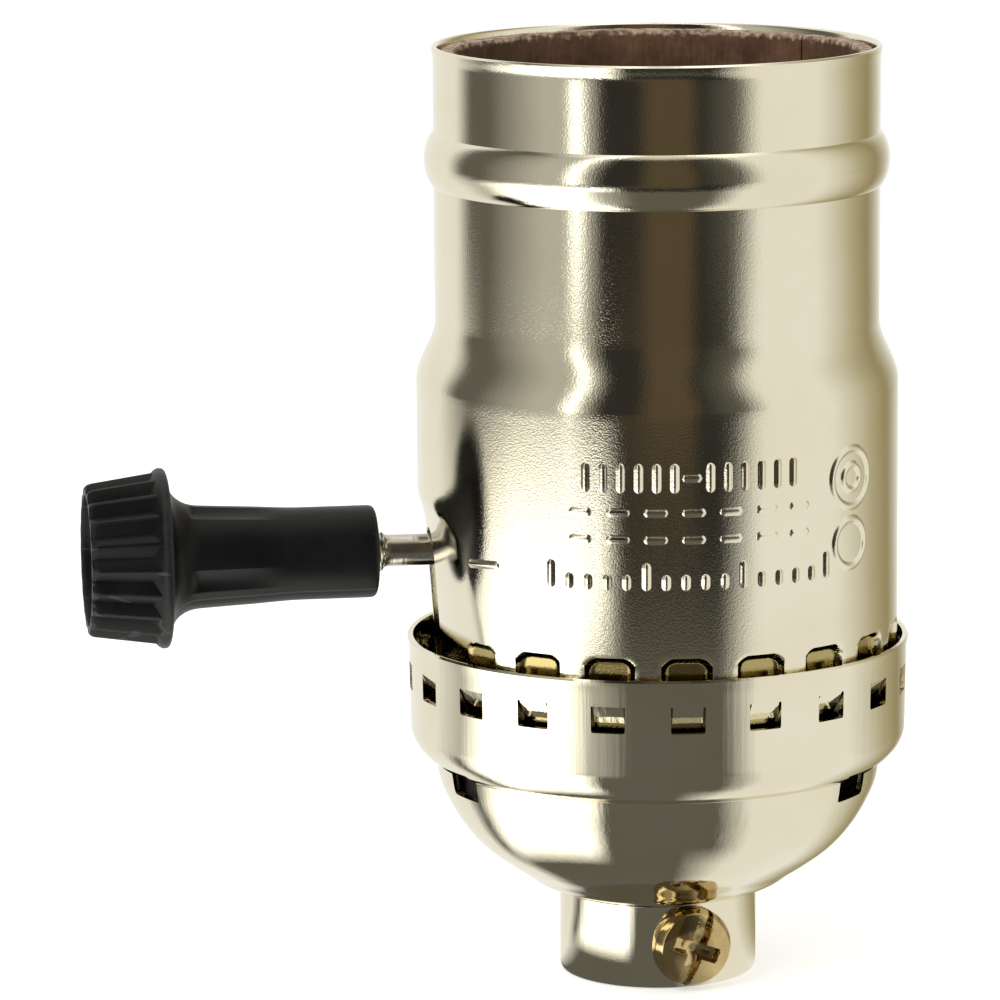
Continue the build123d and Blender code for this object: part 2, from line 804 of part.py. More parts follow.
def terminal_screw(facing):
    """A round-headed terminal screw, its head out and its shank into the base."""
    seat = terminal_face + plate_thickness + terminal_head_gap
    plane = Plane(origin=(0, facing * seat, terminal_z), x_dir=(1, 0, 0), z_dir=(0, facing, 0))
    with BuildPart() as screw:
        with BuildSketch(plane):
            Circle(terminal_head_radius)
        extrude(amount=terminal_head_height)
        head = faces().sort_by(Axis((0, 0, 0), (0, facing, 0)))[-1]
        fillet(head.edges(), terminal_round)
        with BuildSketch(plane):
            Circle(terminal_screw_radius)
        extrude(amount=-terminal_screw_length)
        with BuildSketch(plane.offset(terminal_head_height)):
            Rectangle(3 * terminal_head_radius, terminal_slot_width)
        extrude(amount=-terminal_slot_depth, mode=Mode.SUBTRACT)
    return screw.part


with BuildPart() as hot_terminal_screw:
    add(terminal_screw(1))
hot_terminal_screw.part.label = "hot_terminal_screw"
export_step(hot_terminal_screw.part, "parts/hot_terminal_screw.step")

with BuildPart() as neutral_terminal_screw:
    add(terminal_screw(-1))
neutral_terminal_screw.part.label = "neutral_terminal_screw"
export_step(neutral_terminal_screw.part, "parts/neutral_terminal_screw.step")

# Centre contact: a bent tongue from its rivet to the middle of the lamp well
tongue_span = hypot(rivet_x, rivet_offset)
tongue_plane = Plane(
    origin=(rivet_x, rivet_offset, body_top),
    x_dir=(-rivet_x, -rivet_offset, 0),
    z_dir=(-rivet_offset, rivet_x, 0),
)
with BuildPart() as centre_contact:
    with BuildSketch(tongue_plane):
        with BuildLine() as tongue_line:
            FilletPolyline(
                (-tongue_pad, tongue_thickness / 2),
                (tongue_pad, tongue_thickness / 2),
                (tongue_span - tongue_thickness, tongue_thickness / 2 + tongue_rise),
                (tongue_span + tongue_tip, tongue_thickness / 2 + tongue_rise - tongue_tip_drop),
                radius=tongue_bend,
            )
        trace(tongue_line.edges(), tongue_thickness)
    extrude(amount=tongue_width / 2, both=True)
    with BuildSketch(Plane.XY.offset(body_top)):
        with Locations((rivet_x, rivet_offset)):
            Circle(rivet_radius + fit)
    extrude(amount=tongue_thickness, mode=Mode.SUBTRACT)
centre_contact.part.label = "centre_contact"
export_step(centre_contact.part, "parts/centre_contact.step")

# Upper switch finger, held flat under the cavity's roof
load_reach = cavity_half_width - load_contact_gap
with BuildPart() as load_contact:
    with BuildSketch(Plane.XY.offset(load_bottom)):
        with Locations((rivet_x, (load_reach - strip_reach) / 2)):
            Rectangle(strip_width, load_reach + strip_reach)
        with Locations((rivet_x, rivet_offset)):
            Circle(rivet_radius + fit, mode=Mode.SUBTRACT)
    extrude(amount=strip_thickness)
load_contact.part.label = "load_contact"
export_step(load_contact.part, "parts/load_contact.step")

# Rivet that joins the tongue to the upper finger through the roof
with BuildPart() as centre_rivet:
    with BuildSketch(Plane.XY.offset(load_bottom)):
        with Locations((rivet_x, rivet_offset)):
            Circle(rivet_radius)
    extrude(amount=body_top + tongue_thickness - load_bottom)
    with BuildSketch(Plane.XY.offset(body_top + tongue_thickness)):
        with Locations((rivet_x, rivet_offset)):
            Circle(rivet_head_radius)
    extrude(amount=rivet_head_height)
    with BuildSketch(Plane.XY.offset(load_bottom)):
        with Locations((rivet_x, rivet_offset)):
            Circle(rivet_head_radius - strip_clearance)
    extrude(amount=-rivet_head_height)
centre_rivet.part.label = "centre_rivet"
export_step(centre_rivet.part, "parts/centre_rivet.step")

# Shaft, turned in one piece: thread, neck, bearing length with a flat for the rotor, ring groove
shaft_plane = Plane(origin=(0, 0, shaft_z), x_dir=(0, 1, 0), z_dir=(1, 0, 0))
neck_end = shaft_neck_start + shaft_neck_length
ring_x = rotor_half_length + ring_offset
with BuildPart() as switch_shaft:
    with BuildSketch(shaft_plane.offset(-neck_end - shaft_thread_length)):
        Circle(shaft_thread_radius)
    extrude(amount=shaft_thread_length)
    chamfer(edges().group_by(Axis.X)[0], edge_break)
    with BuildSketch(shaft_plane.offset(-neck_end)):
        Circle(shaft_neck_radius)
    extrude(amount=shaft_neck_length)
    with BuildSketch(shaft_plane.offset(-shaft_neck_start)):
        Circle(shaft_radius)
    extrude(amount=shaft_neck_start + shaft_inner_end)
    with Locations((0, 0, shaft_z + shaft_flat + shaft_radius)):
        Box(2 * rotor_half_length, 2 * shaft_radius, 2 * shaft_radius, mode=Mode.SUBTRACT)
    with BuildSketch(shaft_plane.offset(ring_x)):
        Circle(2 * shaft_radius)
        Circle(ring_groove_radius, mode=Mode.SUBTRACT)
    extrude(amount=ring_thickness, mode=Mode.SUBTRACT)
switch_shaft.part.label = "switch_shaft"
export_step(switch_shaft.part, "parts/switch_shaft.step")

# Retaining ring, open on one side, in the shaft's groove
with BuildPart() as retaining_ring:
    with BuildSketch(shaft_plane.offset(ring_x + fit)):
        Circle(ring_radius)
        Circle(ring_groove_radius + fit, mode=Mode.SUBTRACT)
        with Locations((ring_radius, 0)):
            Rectangle(2 * ring_radius, ring_opening, mode=Mode.SUBTRACT)
    extrude(amount=ring_thickness - 2 * fit)
retaining_ring.part.label = "retaining_ring"
export_step(retaining_ring.part, "parts/retaining_ring.step")

# Rotor: a square cam with rounded corners, then a drum that carries the moving contact
with BuildPart() as cam_rotor:
    with BuildSketch(shaft_plane.offset(-rotor_half_length)):
        Circle(cam_corner_radius)
        Rectangle(2 * cam_half_side, 2 * cam_half_side, mode=Mode.INTERSECT)
    extrude(amount=cam_length)
    with BuildSketch(shaft_plane.offset(-rotor_half_length)):
        Circle(drum_radius)
    extrude(amount=2 * rotor_half_length)
    with BuildSketch(shaft_plane.offset(-rotor_half_length)):
        Circle(shaft_radius + fit)
        with Locations((0, shaft_flat + fit + shaft_radius)):
            Rectangle(3 * shaft_radius, 2 * shaft_radius, mode=Mode.SUBTRACT)
    extrude(amount=2 * rotor_half_length, mode=Mode.SUBTRACT)
cam_rotor.part.label = "cam_rotor"
export_step(cam_rotor.part, "parts/cam_rotor.step")

# Moving contact: a stamped ring with two wings, one up and one down when the lamp is on
with BuildPart() as moving_contact:
    with BuildSketch(shaft_plane.offset(contact_offset)):
        Circle(contact_ring_radius)
        for wing in (90, 270):
            with BuildLine() as wing_outline:
                PolarLine((0, 0), wing_radius, angle=wing - wing_angle / 2)
                CenterArc((0, 0), wing_radius, wing - wing_angle / 2, wing_angle)
                PolarLine((0, 0), wing_radius, angle=wing + wing_angle / 2)
            make_face(wing_outline.edges())
        Circle(drum_radius + fit, mode=Mode.SUBTRACT)
    extrude(amount=contact_width)
moving_contact.part.label = "moving_contact"
export_step(moving_contact.part, "parts/moving_contact.step")

# Detent leaf, bowed up to the cam's flat side
leaf_top = shaft_z - cam_half_side - leaf_touch_gap
leaf_x = -rotor_half_length + cam_length / 2
with BuildPart() as detent_spring:
    with BuildSketch(Plane.YZ.offset(leaf_x - leaf_width / 2)):
        with BuildLine() as leaf_line:
            ThreePointArc(
                (-leaf_half_length, cavity_bottom + leaf_thickness),
                (0, leaf_top - leaf_thickness / 2),
                (leaf_half_length, cavity_bottom + leaf_thickness),
            )
        trace(leaf_line.edges(), leaf_thickness)
    extrude(amount=leaf_width)
detent_spring.part.label = "detent_spring"
export_step(detent_spring.part, "parts/detent_spring.step")

# Knob, moulded round its insert. Its own plane starts at the end by the shell and looks outwards.
knob_section = Plane(origin=(knob_x, 0, shaft_z), x_dir=(-1, 0, 0), z_dir=(0, 1, 0))
knob_plane = Plane(origin=(knob_x, 0, shaft_z), x_dir=(0, -1, 0), z_dir=(-1, 0, 0))
bevel_start = knob_length - knob_crown_length
bevel_end = bevel_start + knob_bevel
flange_start = bevel_start - knob_flange_width
flare_end = flange_start - knob_flange_lean
flare_start = flare_end - knob_flare_length
cup_floor = knob_length - knob_cup_depth

with BuildPart() as crown_groove:
    crest_fall = (knob_crown_base_radius - knob_crown_end_radius) / knob_crown_length
    for distance in (bevel_start - knob_flute_overrun, knob_length + knob_flute_overrun):
        crest = knob_crown_end_radius + crest_fall * (knob_length - distance)
        half = pi * crest / knob_flute_count
        with BuildSketch(Plane.XY.offset(distance)):
            with BuildLine():
                Polyline(
                    (crest - knob_flute_depth, 0),
                    (crest + knob_flute_depth, 2 * half),
                    (crest + knob_flute_depth, -2 * half),
                    close=True,
                )
            make_face()
    loft(ruled=True)

# The crown alone, so that its grooves end on the flange's bevel
with BuildPart() as crown:
    with BuildSketch(knob_section):
        with BuildLine():
            Polyline(
                (cup_floor, 0),
                (bevel_start, 0),
                (bevel_start, knob_crown_base_radius),
                (knob_length, knob_crown_end_radius),
                (knob_length, knob_cup_radius),
            )
            FilletPolyline(
                (knob_length, knob_cup_radius),
                (cup_floor, knob_cup_radius - knob_cup_draft),
                (cup_floor, 0),
                radius=knob_cup_round,
            )
        make_face()
    revolve(axis=shaft_axis)
    fillet(edges().group_by(Axis.X)[0].sort_by(SortBy.RADIUS)[-1], knob_end_round)
    with Locations(knob_plane):
        with PolarLocations(0, knob_flute_count, start_angle=knob_flute_turn):
            add(crown_groove.part, mode=Mode.SUBTRACT)

with BuildPart() as neck_scoop:
    scoop_lift = neck_flute_radius - neck_flute_depth
    with BuildSketch(Plane.XY.offset(flare_start + neck_flute_run)):
        with Locations((knob_waist_radius + scoop_lift, 0)):
            Circle(neck_flute_radius)
    with BuildSketch(Plane.XY.offset(flare_start - neck_flute_length)):
        with Locations((knob_neck_radius + neck_flute_radius, 0)):
            Circle(neck_flute_radius)
    loft(ruled=True)

with BuildPart() as knob:
    with BuildSketch(knob_section):
        with BuildLine():
            Polyline((0, 0), (0, knob_neck_radius), (knob_neck_length, knob_neck_radius))
            Spline(
                (knob_neck_length, knob_neck_radius),
                ((knob_neck_length + flare_start) / 2, knob_mid_radius),
                (flare_start, knob_waist_radius),
                tangents=[(1, 0), (1, knob_waist_slope)],
            )
            Spline(
                (flare_start, knob_waist_radius),
                (flare_end, knob_flare_radius),
                tangents=[(1, knob_waist_slope), (1, knob_flare_slope)],
            )
            Polyline(
                (flare_end, knob_flare_radius),
                (flange_start, knob_flange_radius),
                (bevel_start, knob_flange_radius),
                (bevel_end, knob_flange_radius - knob_bevel),
                (bevel_end, 0),
                (0, 0),
            )
        make_face()
    revolve(axis=shaft_axis)
    fillet(edges().group_by(Axis.X)[-1], knob_neck_round)
    fillet(edges().filter_by(GeomType.CIRCLE).group_by(SortBy.RADIUS)[-1], knob_flange_round)
    add(crown.part)
    with Locations(knob_plane):
        with PolarLocations(0, neck_flute_count, start_angle=neck_flute_turn):
            add(neck_scoop.part, mode=Mode.SUBTRACT)
    with BuildSketch(knob_plane):
        Circle(insert_radius)
    extrude(amount=insert_length, mode=Mode.SUBTRACT)
    with BuildSketch(knob_plane):
        Circle(shaft_thread_radius)
    extrude(amount=insert_length + insert_relief, mode=Mode.SUBTRACT)
knob.part.label = "knob"
export_step(knob.part, "parts/knob.step")

# Threaded insert in the knob
with BuildPart() as knob_insert:
    with BuildSketch(knob_plane):
        Circle(insert_radius)
        Circle(shaft_thread_radius + fit, mode=Mode.SUBTRACT)
    extrude(amount=insert_length)
knob_insert.part.label = "knob_insert"
export_step(knob_insert.part, "parts/knob_insert.step")
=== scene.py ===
# %% [markdown]
# A turn knob lamp socket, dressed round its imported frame.
# The frame holds the true sizes. The pieces below take their places and outer sizes from its boxes,
# and their finer proportions from the photograph. Lengths are written in millimetres and turned into
# metres once.

# %% Load the frame
import math

import bmesh
import bpy
import numpy as np
from mathutils import Matrix, Vector


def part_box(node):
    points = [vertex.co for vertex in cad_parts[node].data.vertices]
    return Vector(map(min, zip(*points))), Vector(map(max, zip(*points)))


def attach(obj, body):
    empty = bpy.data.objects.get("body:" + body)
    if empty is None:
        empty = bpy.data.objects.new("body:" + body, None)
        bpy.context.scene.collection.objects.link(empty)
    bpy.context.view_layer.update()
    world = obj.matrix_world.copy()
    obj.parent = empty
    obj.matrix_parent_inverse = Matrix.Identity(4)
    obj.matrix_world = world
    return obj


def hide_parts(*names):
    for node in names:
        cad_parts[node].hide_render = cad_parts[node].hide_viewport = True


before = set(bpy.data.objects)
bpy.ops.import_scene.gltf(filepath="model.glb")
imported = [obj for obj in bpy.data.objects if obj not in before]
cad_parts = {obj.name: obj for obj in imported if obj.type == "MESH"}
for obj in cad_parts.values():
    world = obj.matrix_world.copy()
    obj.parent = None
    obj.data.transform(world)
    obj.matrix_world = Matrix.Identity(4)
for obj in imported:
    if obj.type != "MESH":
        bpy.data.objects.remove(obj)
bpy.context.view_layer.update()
MM = 0.001


def box_mm(node):
    """Lowest and highest corner of a node of the frame, in millimetres."""
    low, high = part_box(node)
    return np.array(low) / MM, np.array(high) / MM


# %% [markdown]
# The camera is a long lens, a little above the socket and a little to its left, looking slightly down.
# A long lens keeps the shell's sides parallel, as a catalogue photograph does.
# The camera's place is worked out from how far it stands back and how far the axis lies beside its aim.

# %% Camera
camera_azimuth = math.radians(-8.7)
camera_pitch = math.radians(10.13)
camera_roll = math.radians(0.35)
camera_back = 388.8
camera_aside = 10.74
camera_height = 102.2
camera_lens = 208.1

camera_data = bpy.data.cameras.new("camera")
camera_data.lens = camera_lens
camera_data.sensor_width = 36
camera_data.clip_start = 0.01
camera_data.clip_end = 20
camera = bpy.data.objects.new("camera", camera_data)
bpy.context.scene.collection.objects.link(camera)
level_back = Vector((math.sin(camera_azimuth), -math.cos(camera_azimuth), 0))
level_right = Vector((math.cos(camera_azimuth), math.sin(camera_azimuth), 0))
place = level_back * camera_back - level_right * camera_aside + Vector((0, 0, camera_height))
camera.location = place * MM
aim = -level_back * math.cos(camera_pitch) - Vector((0, 0, math.sin(camera_pitch)))
level_turn = aim.to_track_quat("-Z", "Y").to_matrix()
camera.rotation_euler = (Matrix.Rotation(camera_roll, 3, aim) @ level_turn).to_euler()
bpy.context.scene.camera = camera
bpy.context.scene.view_settings.view_transform = "Standard"
print("camera at", [round(v, 3) for v in camera.location])

# %% [markdown]
# Polished plate shows little of itself: what is seen on it is the room.
# So the room is drawn first, as a map of directions round the socket: dark where the photographer
# stands, grey card with a narrow bright gap to the left of the camera, and pale card to the right.
# The map is made from the direction alone, so it stays where it is when the camera moves.
# The helpers in the next cell add the shader nodes, here and in every finish further down.

# %% Node helpers
def new_node(tree, kind, inputs=None, **settings):
    """Adds a shader node, sets its plain settings, and fills or links its inputs."""
    node = tree.nodes.new(kind)
    for name, value in settings.items():
        setattr(node, name, value)
    for name, value in (inputs or {}).items():
        if isinstance(value, bpy.types.NodeSocket):
            tree.links.new(value, node.inputs[name])
        else:
            node.inputs[name].default_value = value
    return node


def math_node(tree, operation, a, b=0.0, clamp=False):
    """One Math node's result."""
    return new_node(tree, "ShaderNodeMath", {0: a, 1: b}, operation=operation, use_clamp=clamp).outputs[0]


def ramp_node(tree, factor, stops):
    """A straight-lined colour ramp through (place, colour) stops."""
    node = new_node(tree, "ShaderNodeValToRGB", {"Fac": factor})
    ramp = node.color_ramp
    while len(ramp.elements) > 1:
        ramp.elements.remove(ramp.elements[-1])
    for index, (place_on_ramp, colour) in enumerate(stops):
        element = ramp.elements[0] if index == 0 else ramp.elements.new(place_on_ramp)
        element.position = place_on_ramp
        element.color = (*colour, 1)
    return node.outputs["Color"]


def mix_colour(tree, factor, first, second, blend_type="MIX"):
    """Mixes two colours."""
    inputs = {0: factor, 6: first, 7: second}
    return new_node(tree, "ShaderNodeMix", inputs, data_type="RGBA", blend_type=blend_type).outputs[2]


def mix_shaders(tree, factor, first, second):
    """Mixes two shaders: the second shows where the factor is 1."""
    inputs = {0: factor, 1: first.outputs[0], 2: second.outputs[0]}
    return new_node(tree, "ShaderNodeMixShader", inputs)


def ramped_share(tree, value, start, length):
    """Share that goes from 0 where the value is start to 1 a length further on."""
    past = math_node(tree, "SUBTRACT", value, start)
    return math_node(tree, "DIVIDE", past, length, clamp=True)


def round_place(tree, spread_direction):
    """Place on a round-the-room ramp of a direction whose parts are already separated."""
    to_front = math_node(tree, "MULTIPLY", spread_direction.outputs["Y"], -1.0)
    across = math_node(tree, "ARCTAN2", spread_direction.outputs["X"], to_front)
    return math_node(tree, "ADD", math_node(tree, "DIVIDE", across, 2 * math.pi), 0.5)


# %% Studio round the socket
# Degrees from straight ahead to the side that the room's angles are counted from.
camera_side = -10.3

world = bpy.data.worlds.new("studio")
bpy.context.scene.world = world
world.use_nodes = True
sky = world.node_tree
sky.nodes.clear()
direction = new_node(sky, "ShaderNodeTexCoord").outputs["Generated"]
parts_of_direction = new_node(sky, "ShaderNodeSeparateXYZ", {0: direction})
height_angle = math_node(sky, "ARCSINE", parts_of_direction.outputs["Z"])
up_room = math_node(sky, "ADD", math_node(sky, "DIVIDE", height_angle, math.pi), 0.5)


def turn(degrees_from_camera):
    """Place on the round-the-room ramp of an angle counted from the camera's side."""
    return ((degrees_from_camera + camera_side) / 360 + 0.5) % 1.0


def card_stops(*cards):
    """Ramp stops of cards round the room, each its first and last angle, or one angle, and its colour."""
    return sorted((turn(angle), colour) for *angles, colour in cards for angle in angles)


cream = (0.95, 0.94, 0.89)
paper = (2.4, 2.38, 2.25)
brown_wall = (0.10, 0.075, 0.045)
grey_card = (0.55, 0.54, 0.50)
sand = (0.50, 0.46, 0.31)
olive = (0.34, 0.29, 0.16)
dim_room = (0.13, 0.126, 0.108)
dark_room = (0.03, 0.029, 0.025)
right_side = [(54, 90, cream), (120, sand), (138, olive), (170, cream)]
room_stops = card_stops(
    (-125, cream),
    (-112, -95, dim_room),
    (-60, -46, grey_card),
    (-43, -40, paper),
    (-37, -35, grey_card),
    (-28, -10, dark_room),
    (-3, 17, brown_wall),
    (22, dark_room),
    (42, dim_room),
    *right_side,
)
room = ramp_node(sky, round_place(sky, parts_of_direction), [(0.0, cream)] + room_stops)
overhead = ramp_node(
    sky,
    up_room,
    [
        (0.0, (0.9, 0.88, 0.82)),
        (0.30, (0.75, 0.73, 0.67)),
        (0.36, (0.0, 0.0, 0.0)),
        (0.80, (0.0, 0.0, 0.0)),
        (0.88, (0.6, 0.58, 0.52)),
        (1.0, (1.0, 0.98, 0.92)),
    ],
)
seen_in_gloss = mix_colour(sky, 1.0, room, overhead, "ADD")
path = new_node(sky, "ShaderNodeLightPath")
plain_level = new_node(sky, "ShaderNodeBackground", {"Color": (1, 0.99, 0.97, 1), "Strength": 0.75})
gloss_level = new_node(sky, "ShaderNodeBackground", {"Color": seen_in_gloss, "Strength": 1.0})
white_level = new_node(sky, "ShaderNodeBackground", {"Color": (1, 1, 1, 1), "Strength": 1.0})
mix_gloss = mix_shaders(sky, path.outputs["Is Glossy Ray"], plain_level, gloss_level)
mix_camera = mix_shaders(sky, path.outputs["Is Camera Ray"], mix_gloss, white_level)
new_node(sky, "ShaderNodeOutputWorld", {"Surface": mix_camera.outputs[0]})
print("studio drawn")

# %% [markdown]
# A single soft lamp from the upper left gives the black knob and the brown fibre their shape.
# It is hidden from gloss, because the studio map already holds everything that the plate mirrors.

# %% Lamp
lamp_data = bpy.data.lights.new("softbox", "AREA")
lamp_data.shape = "RECTANGLE"
lamp_data.size = 0.35
lamp_data.size_y = 0.6
lamp_data.energy = 2.2
lamp = bpy.data.objects.new("softbox", lamp_data)
bpy.context.scene.collection.objects.link(lamp)
lamp.location = (-0.45, -0.45, 0.45)
lamp.rotation_euler = (Vector((0, 0, 0.03)) - lamp.location).to_track_quat("-Z", "Y").to_euler()
lamp.visible_glossy = False

# %% [markdown]
# The floor is a pale round table top. Its colour is close to the white behind it, so only the soft
# shadow under the hub shows where it lies. In the plate it shows a painted reflection instead: for glossy
# rays only, it glows in rings of pale, grey and dark round the socket, so only a mirror shows them.

# %% Floor
floor_radius = 0.34
floor_mesh = bpy.data.meshes.new("table_top")
maker = bmesh.new()
bmesh.ops.create_circle(maker, cap_ends=True, radius=floor_radius, segments=96)
maker.to_mesh(floor_mesh)
maker.free()
floor = bpy.data.objects.new("table_top", floor_mesh)
bpy.context.scene.collection.objects.link(floor)
floor_material = bpy.data.materials.new("table_top")
floor_material.use_nodes = True
floor_tree = floor_material.node_tree
floor_tree.nodes.clear()
floor_path = new_node(floor_tree, "ShaderNodeLightPath")
matte = new_node(floor_tree, "ShaderNodeBsdfDiffuse", {"Color": (0.93, 0.93, 0.92, 1)})
glow = new_node(floor_tree, "ShaderNodeEmission", {"Color": (1, 1, 1, 1), "Strength": 0.45})
lit = new_node(floor_tree, "ShaderNodeAddShader", {0: matte.outputs[0], 1: glow.outputs[0]})
seen = mix_shaders(floor_tree, floor_path.outputs["Is Camera Ray"], matte, lit)
floor_spot = new_node(floor_tree, "ShaderNodeTexCoord").outputs["Object"]
floor_parts = new_node(floor_tree, "ShaderNodeSeparateXYZ", {0: floor_spot})
floor_turn = round_place(floor_tree, floor_parts)
floor_out = new_node(floor_tree, "ShaderNodeVectorMath", {0: floor_spot}, operation="LENGTH").outputs["Value"]


def painted_reflection_ring(*cards):
    """Painted reflection colour round one ring of the floor, with the room's right side closing it."""
    return ramp_node(floor_tree, floor_turn, card_stops(*cards, *right_side))


# Painted reflection: these rings of colour glow on the floor for glossy rays only, standing in for what the
# plate mirrors below it.
painted_floor_reflection = painted_reflection_ring((-105, cream), (-80, 10, dim_room), (35, cream))
near_ring = [(-108, cream), (-95, dim_room), (-77, -33, paper), (-22, 26, dim_room), (42, cream)]
wide_ring = [(-115, cream), (-95, grey_card), (-75, -42, paper), (-28, grey_card), (-12, 28, dim_room)]
edge_ring = [(-120, cream), (-100, grey_card), (-70, -27, paper), (-17, 30, dark_room), (47, cream)]
outer_ring = [(-124, cream), (-98, dim_room), (-60, -42, grey_card), (-28, dark_room), (0, 14, brown_wall)]
outer_ring += [(20, 36, dark_room), (48, cream)]
further_rings = [
    (0.013, 0.018, near_ring),
    (0.040, 0.055, wide_ring + [(42, cream)]),
    (0.145, 0.155, edge_ring),
    (0.200, 0.240, outer_ring),
]
for ring_start, ring_full, cards in further_rings:
    share = ramped_share(floor_tree, floor_out, ring_start, ring_full - ring_start)
    painted_floor_reflection = mix_colour(floor_tree, share, painted_floor_reflection, painted_reflection_ring(*cards))
# The floor glows with the painted reflection for glossy rays, and keeps its plain lit look for every other
# ray.
mirrored = new_node(floor_tree, "ShaderNodeEmission", {"Color": painted_floor_reflection, "Strength": 1.0})
floor_look = mix_shaders(floor_tree, floor_path.outputs["Is Glossy Ray"], seen, mirrored)
new_node(floor_tree, "ShaderNodeOutputMaterial", {"Surface": floor_look.outputs[0]})
floor_mesh.materials.append(floor_material)

# %% [markdown]
# Every finish starts from the same place: noise in the object's own space, so nothing needs unwrapping
# and the grain keeps its true size. Real plated sheet isn't a perfect mirror. Rolling and plating leave
# an orange peel of shallow cells, about an eighth of a millimetre across, that breaks each reflection's
# edge into specks. The finish is therefore one metal shader with a fine bump, and faint upright draw
# lines where the sheet was pulled through a die.

# %% Plated sheet finish
def start_finish(name):
    """A material with an empty node tree, the tree, and the place in the object's own space."""
    material = bpy.data.materials.new(name)
    material.use_nodes = True
    material.node_tree.nodes.clear()
    return material, material.node_tree, new_node(material.node_tree, "ShaderNodeTexCoord").outputs["Object"]


def end_finish(tree, **inputs):
    """Closes a material with the one shader that shows it."""
    named = {name.replace("_", " "): value for name, value in inputs.items()}
    shader = new_node(tree, "ShaderNodeBsdfPrincipled", named)
    new_node(tree, "ShaderNodeOutputMaterial", {"Surface": shader.outputs[0]})


def noise_node(tree, spot, scale, detail, roughness=0.5):
    """Noise in the object's space; scale is in cells per metre."""
    inputs = {"Vector": spot, "Scale": scale, "Detail": detail, "Roughness": roughness}
    return new_node(tree, "ShaderNodeTexNoise", inputs).outputs["Fac"]


def stretched_spot(tree, spot, scale):
    """The place with its axes scaled, so that noise is drawn out along the small ones."""
    return new_node(tree, "ShaderNodeMapping", {"Vector": spot, "Scale": scale}).outputs[0]


def bump_node(tree, height, strength, distance, below=None):
    """A bump of the given depth in metres, laid over the bump below it."""
    inputs = {"Height": height, "Strength": strength, "Distance": distance}
    if below is not None:
        inputs["Normal"] = below
    return new_node(tree, "ShaderNodeBump", inputs).outputs[0]


def clouded(tree, cloud, amount, lowest):
    """Roughness that follows slow noise, from the lowest value up."""
    return math_node(tree, "ADD", math_node(tree, "MULTIPLY", cloud, amount), lowest)


peel_cells = 8200.0
# Painted shade and painted reflection: this olive is multiplied into the shell's recesses, standing in for
# their shade and for the cap's olive band mirrored there.
painted_olive_shade = (0.52, 0.45, 0.25, 1)


def plated_sheet(name, colour, peel, lines, roughness, shade=None):
    """Bright plated sheet: peel is the strength of the orange peel, lines that of the draw marks, and
    shade a (radius, height) in millimetres inside and below which painted shade gives the metal a deep olive
    tone."""
    material, tree, spot = start_finish(name)
    cells = noise_node(tree, spot, peel_cells, 2.0, 0.6)
    waves = noise_node(tree, spot, 420.0, 1.0)
    drawn = noise_node(tree, stretched_spot(tree, spot, (1.0, 1.0, 0.02)), 2600.0, 3.0)
    peel_bump = bump_node(tree, cells, peel, 0.00002)
    line_bump = bump_node(tree, drawn, lines, 0.00004, peel_bump)
    tarnish = noise_node(tree, spot, 160.0, 4.0)
    warmer = tuple(c * f for c, f in zip(colour, (0.95, 0.93, 0.87)))
    tone_colour = ramp_node(tree, tarnish, [(0.35, colour), (0.75, warmer)])
    # Painted shade: inside the shade radius and below the shade height the colour is multiplied by the olive,
    # so the pocket floors and the dished side look shaded.
    if shade:
        shade_radius, shade_height = (size * MM for size in shade)
        level = new_node(tree, "ShaderNodeSeparateXYZ", {0: spot}).outputs["Z"]
        flat = stretched_spot(tree, spot, (1.0, 1.0, 0.0))
        out = new_node(tree, "ShaderNodeVectorMath", {0: flat}, operation="LENGTH").outputs["Value"]
        inside = ramped_share(tree, out, shade_radius, -0.0003)
        below = ramped_share(tree, level, shade_height, -0.0005)
        painted_shade_share = math_node(tree, "MULTIPLY", inside, below)
        painted_shade_colour = mix_colour(tree, 1.0, tone_colour, painted_olive_shade, "MULTIPLY")
        tone_colour = mix_colour(tree, painted_shade_share, tone_colour, painted_shade_colour)
    rough = clouded(tree, waves, 0.06, roughness)
    end_finish(tree, Base_Color=tone_colour, Metallic=1.0, Roughness=rough, Normal=line_bump)
    return material


pale_gold = (0.81, 0.765, 0.63)
# The pocket floors, which lie inside this radius, and the dished side below 25.2 mm get the painted olive
# shade; the ribs between the pockets stay pale.
pocket_shade = (box_mm("outer_shell")[1][1] - 0.15, 25.2)
shell_finish = plated_sheet("plated_shell", pale_gold, 0.34, 0.05, 0.025, pocket_shade)
cap_finish = plated_sheet("plated_cap", pale_gold, 0.12, 0.20, 0.02)
hub_finish = plated_sheet("plated_hub", pale_gold, 0.08, 0.20, 0.01)

# %% [markdown]
# Sheet metal has two faces and a cut edge. A Solidify modifier could give the thickness, but here the
# inner and outer skins have slightly different shapes, and windows are punched through both.
# So a sheet is made from two grids of the same size. Cells that were punched out are left away,
# and a narrow strip closes the gap between the skins along every open edge.

# %% Grid builders
def mesh_object(name, points, faces, finish, edge_angle=40):
    """A smooth-shaded mesh object from points in millimetres, with sharp edges kept sharp."""
    mesh = bpy.data.meshes.new(name)
    mesh.from_pydata((np.asarray(points) * MM).tolist(), [], [tuple(f) for f in faces])
    mesh.validate()
    mesh.shade_smooth()
    mesh.set_sharp_from_angle(angle=math.radians(edge_angle))
    piece = bpy.data.objects.new(name, mesh)
    bpy.context.scene.collection.objects.link(piece)
    mesh.materials.append(finish)
    return piece


def skin_faces(kept, start, columns, flip):
    """Quads of one skin of a closed ring grid, for the cells that are kept."""
    row, column = np.nonzero(kept)
    following = (column + 1) % columns
    a = start + row * columns + column
    b = start + row * columns + following
    c = start + (row + 1) * columns + following
    d = start + (row + 1) * columns + column
    corners = (a, d, c, b) if flip else (a, b, c, d)
    return np.stack(corners, axis=1)


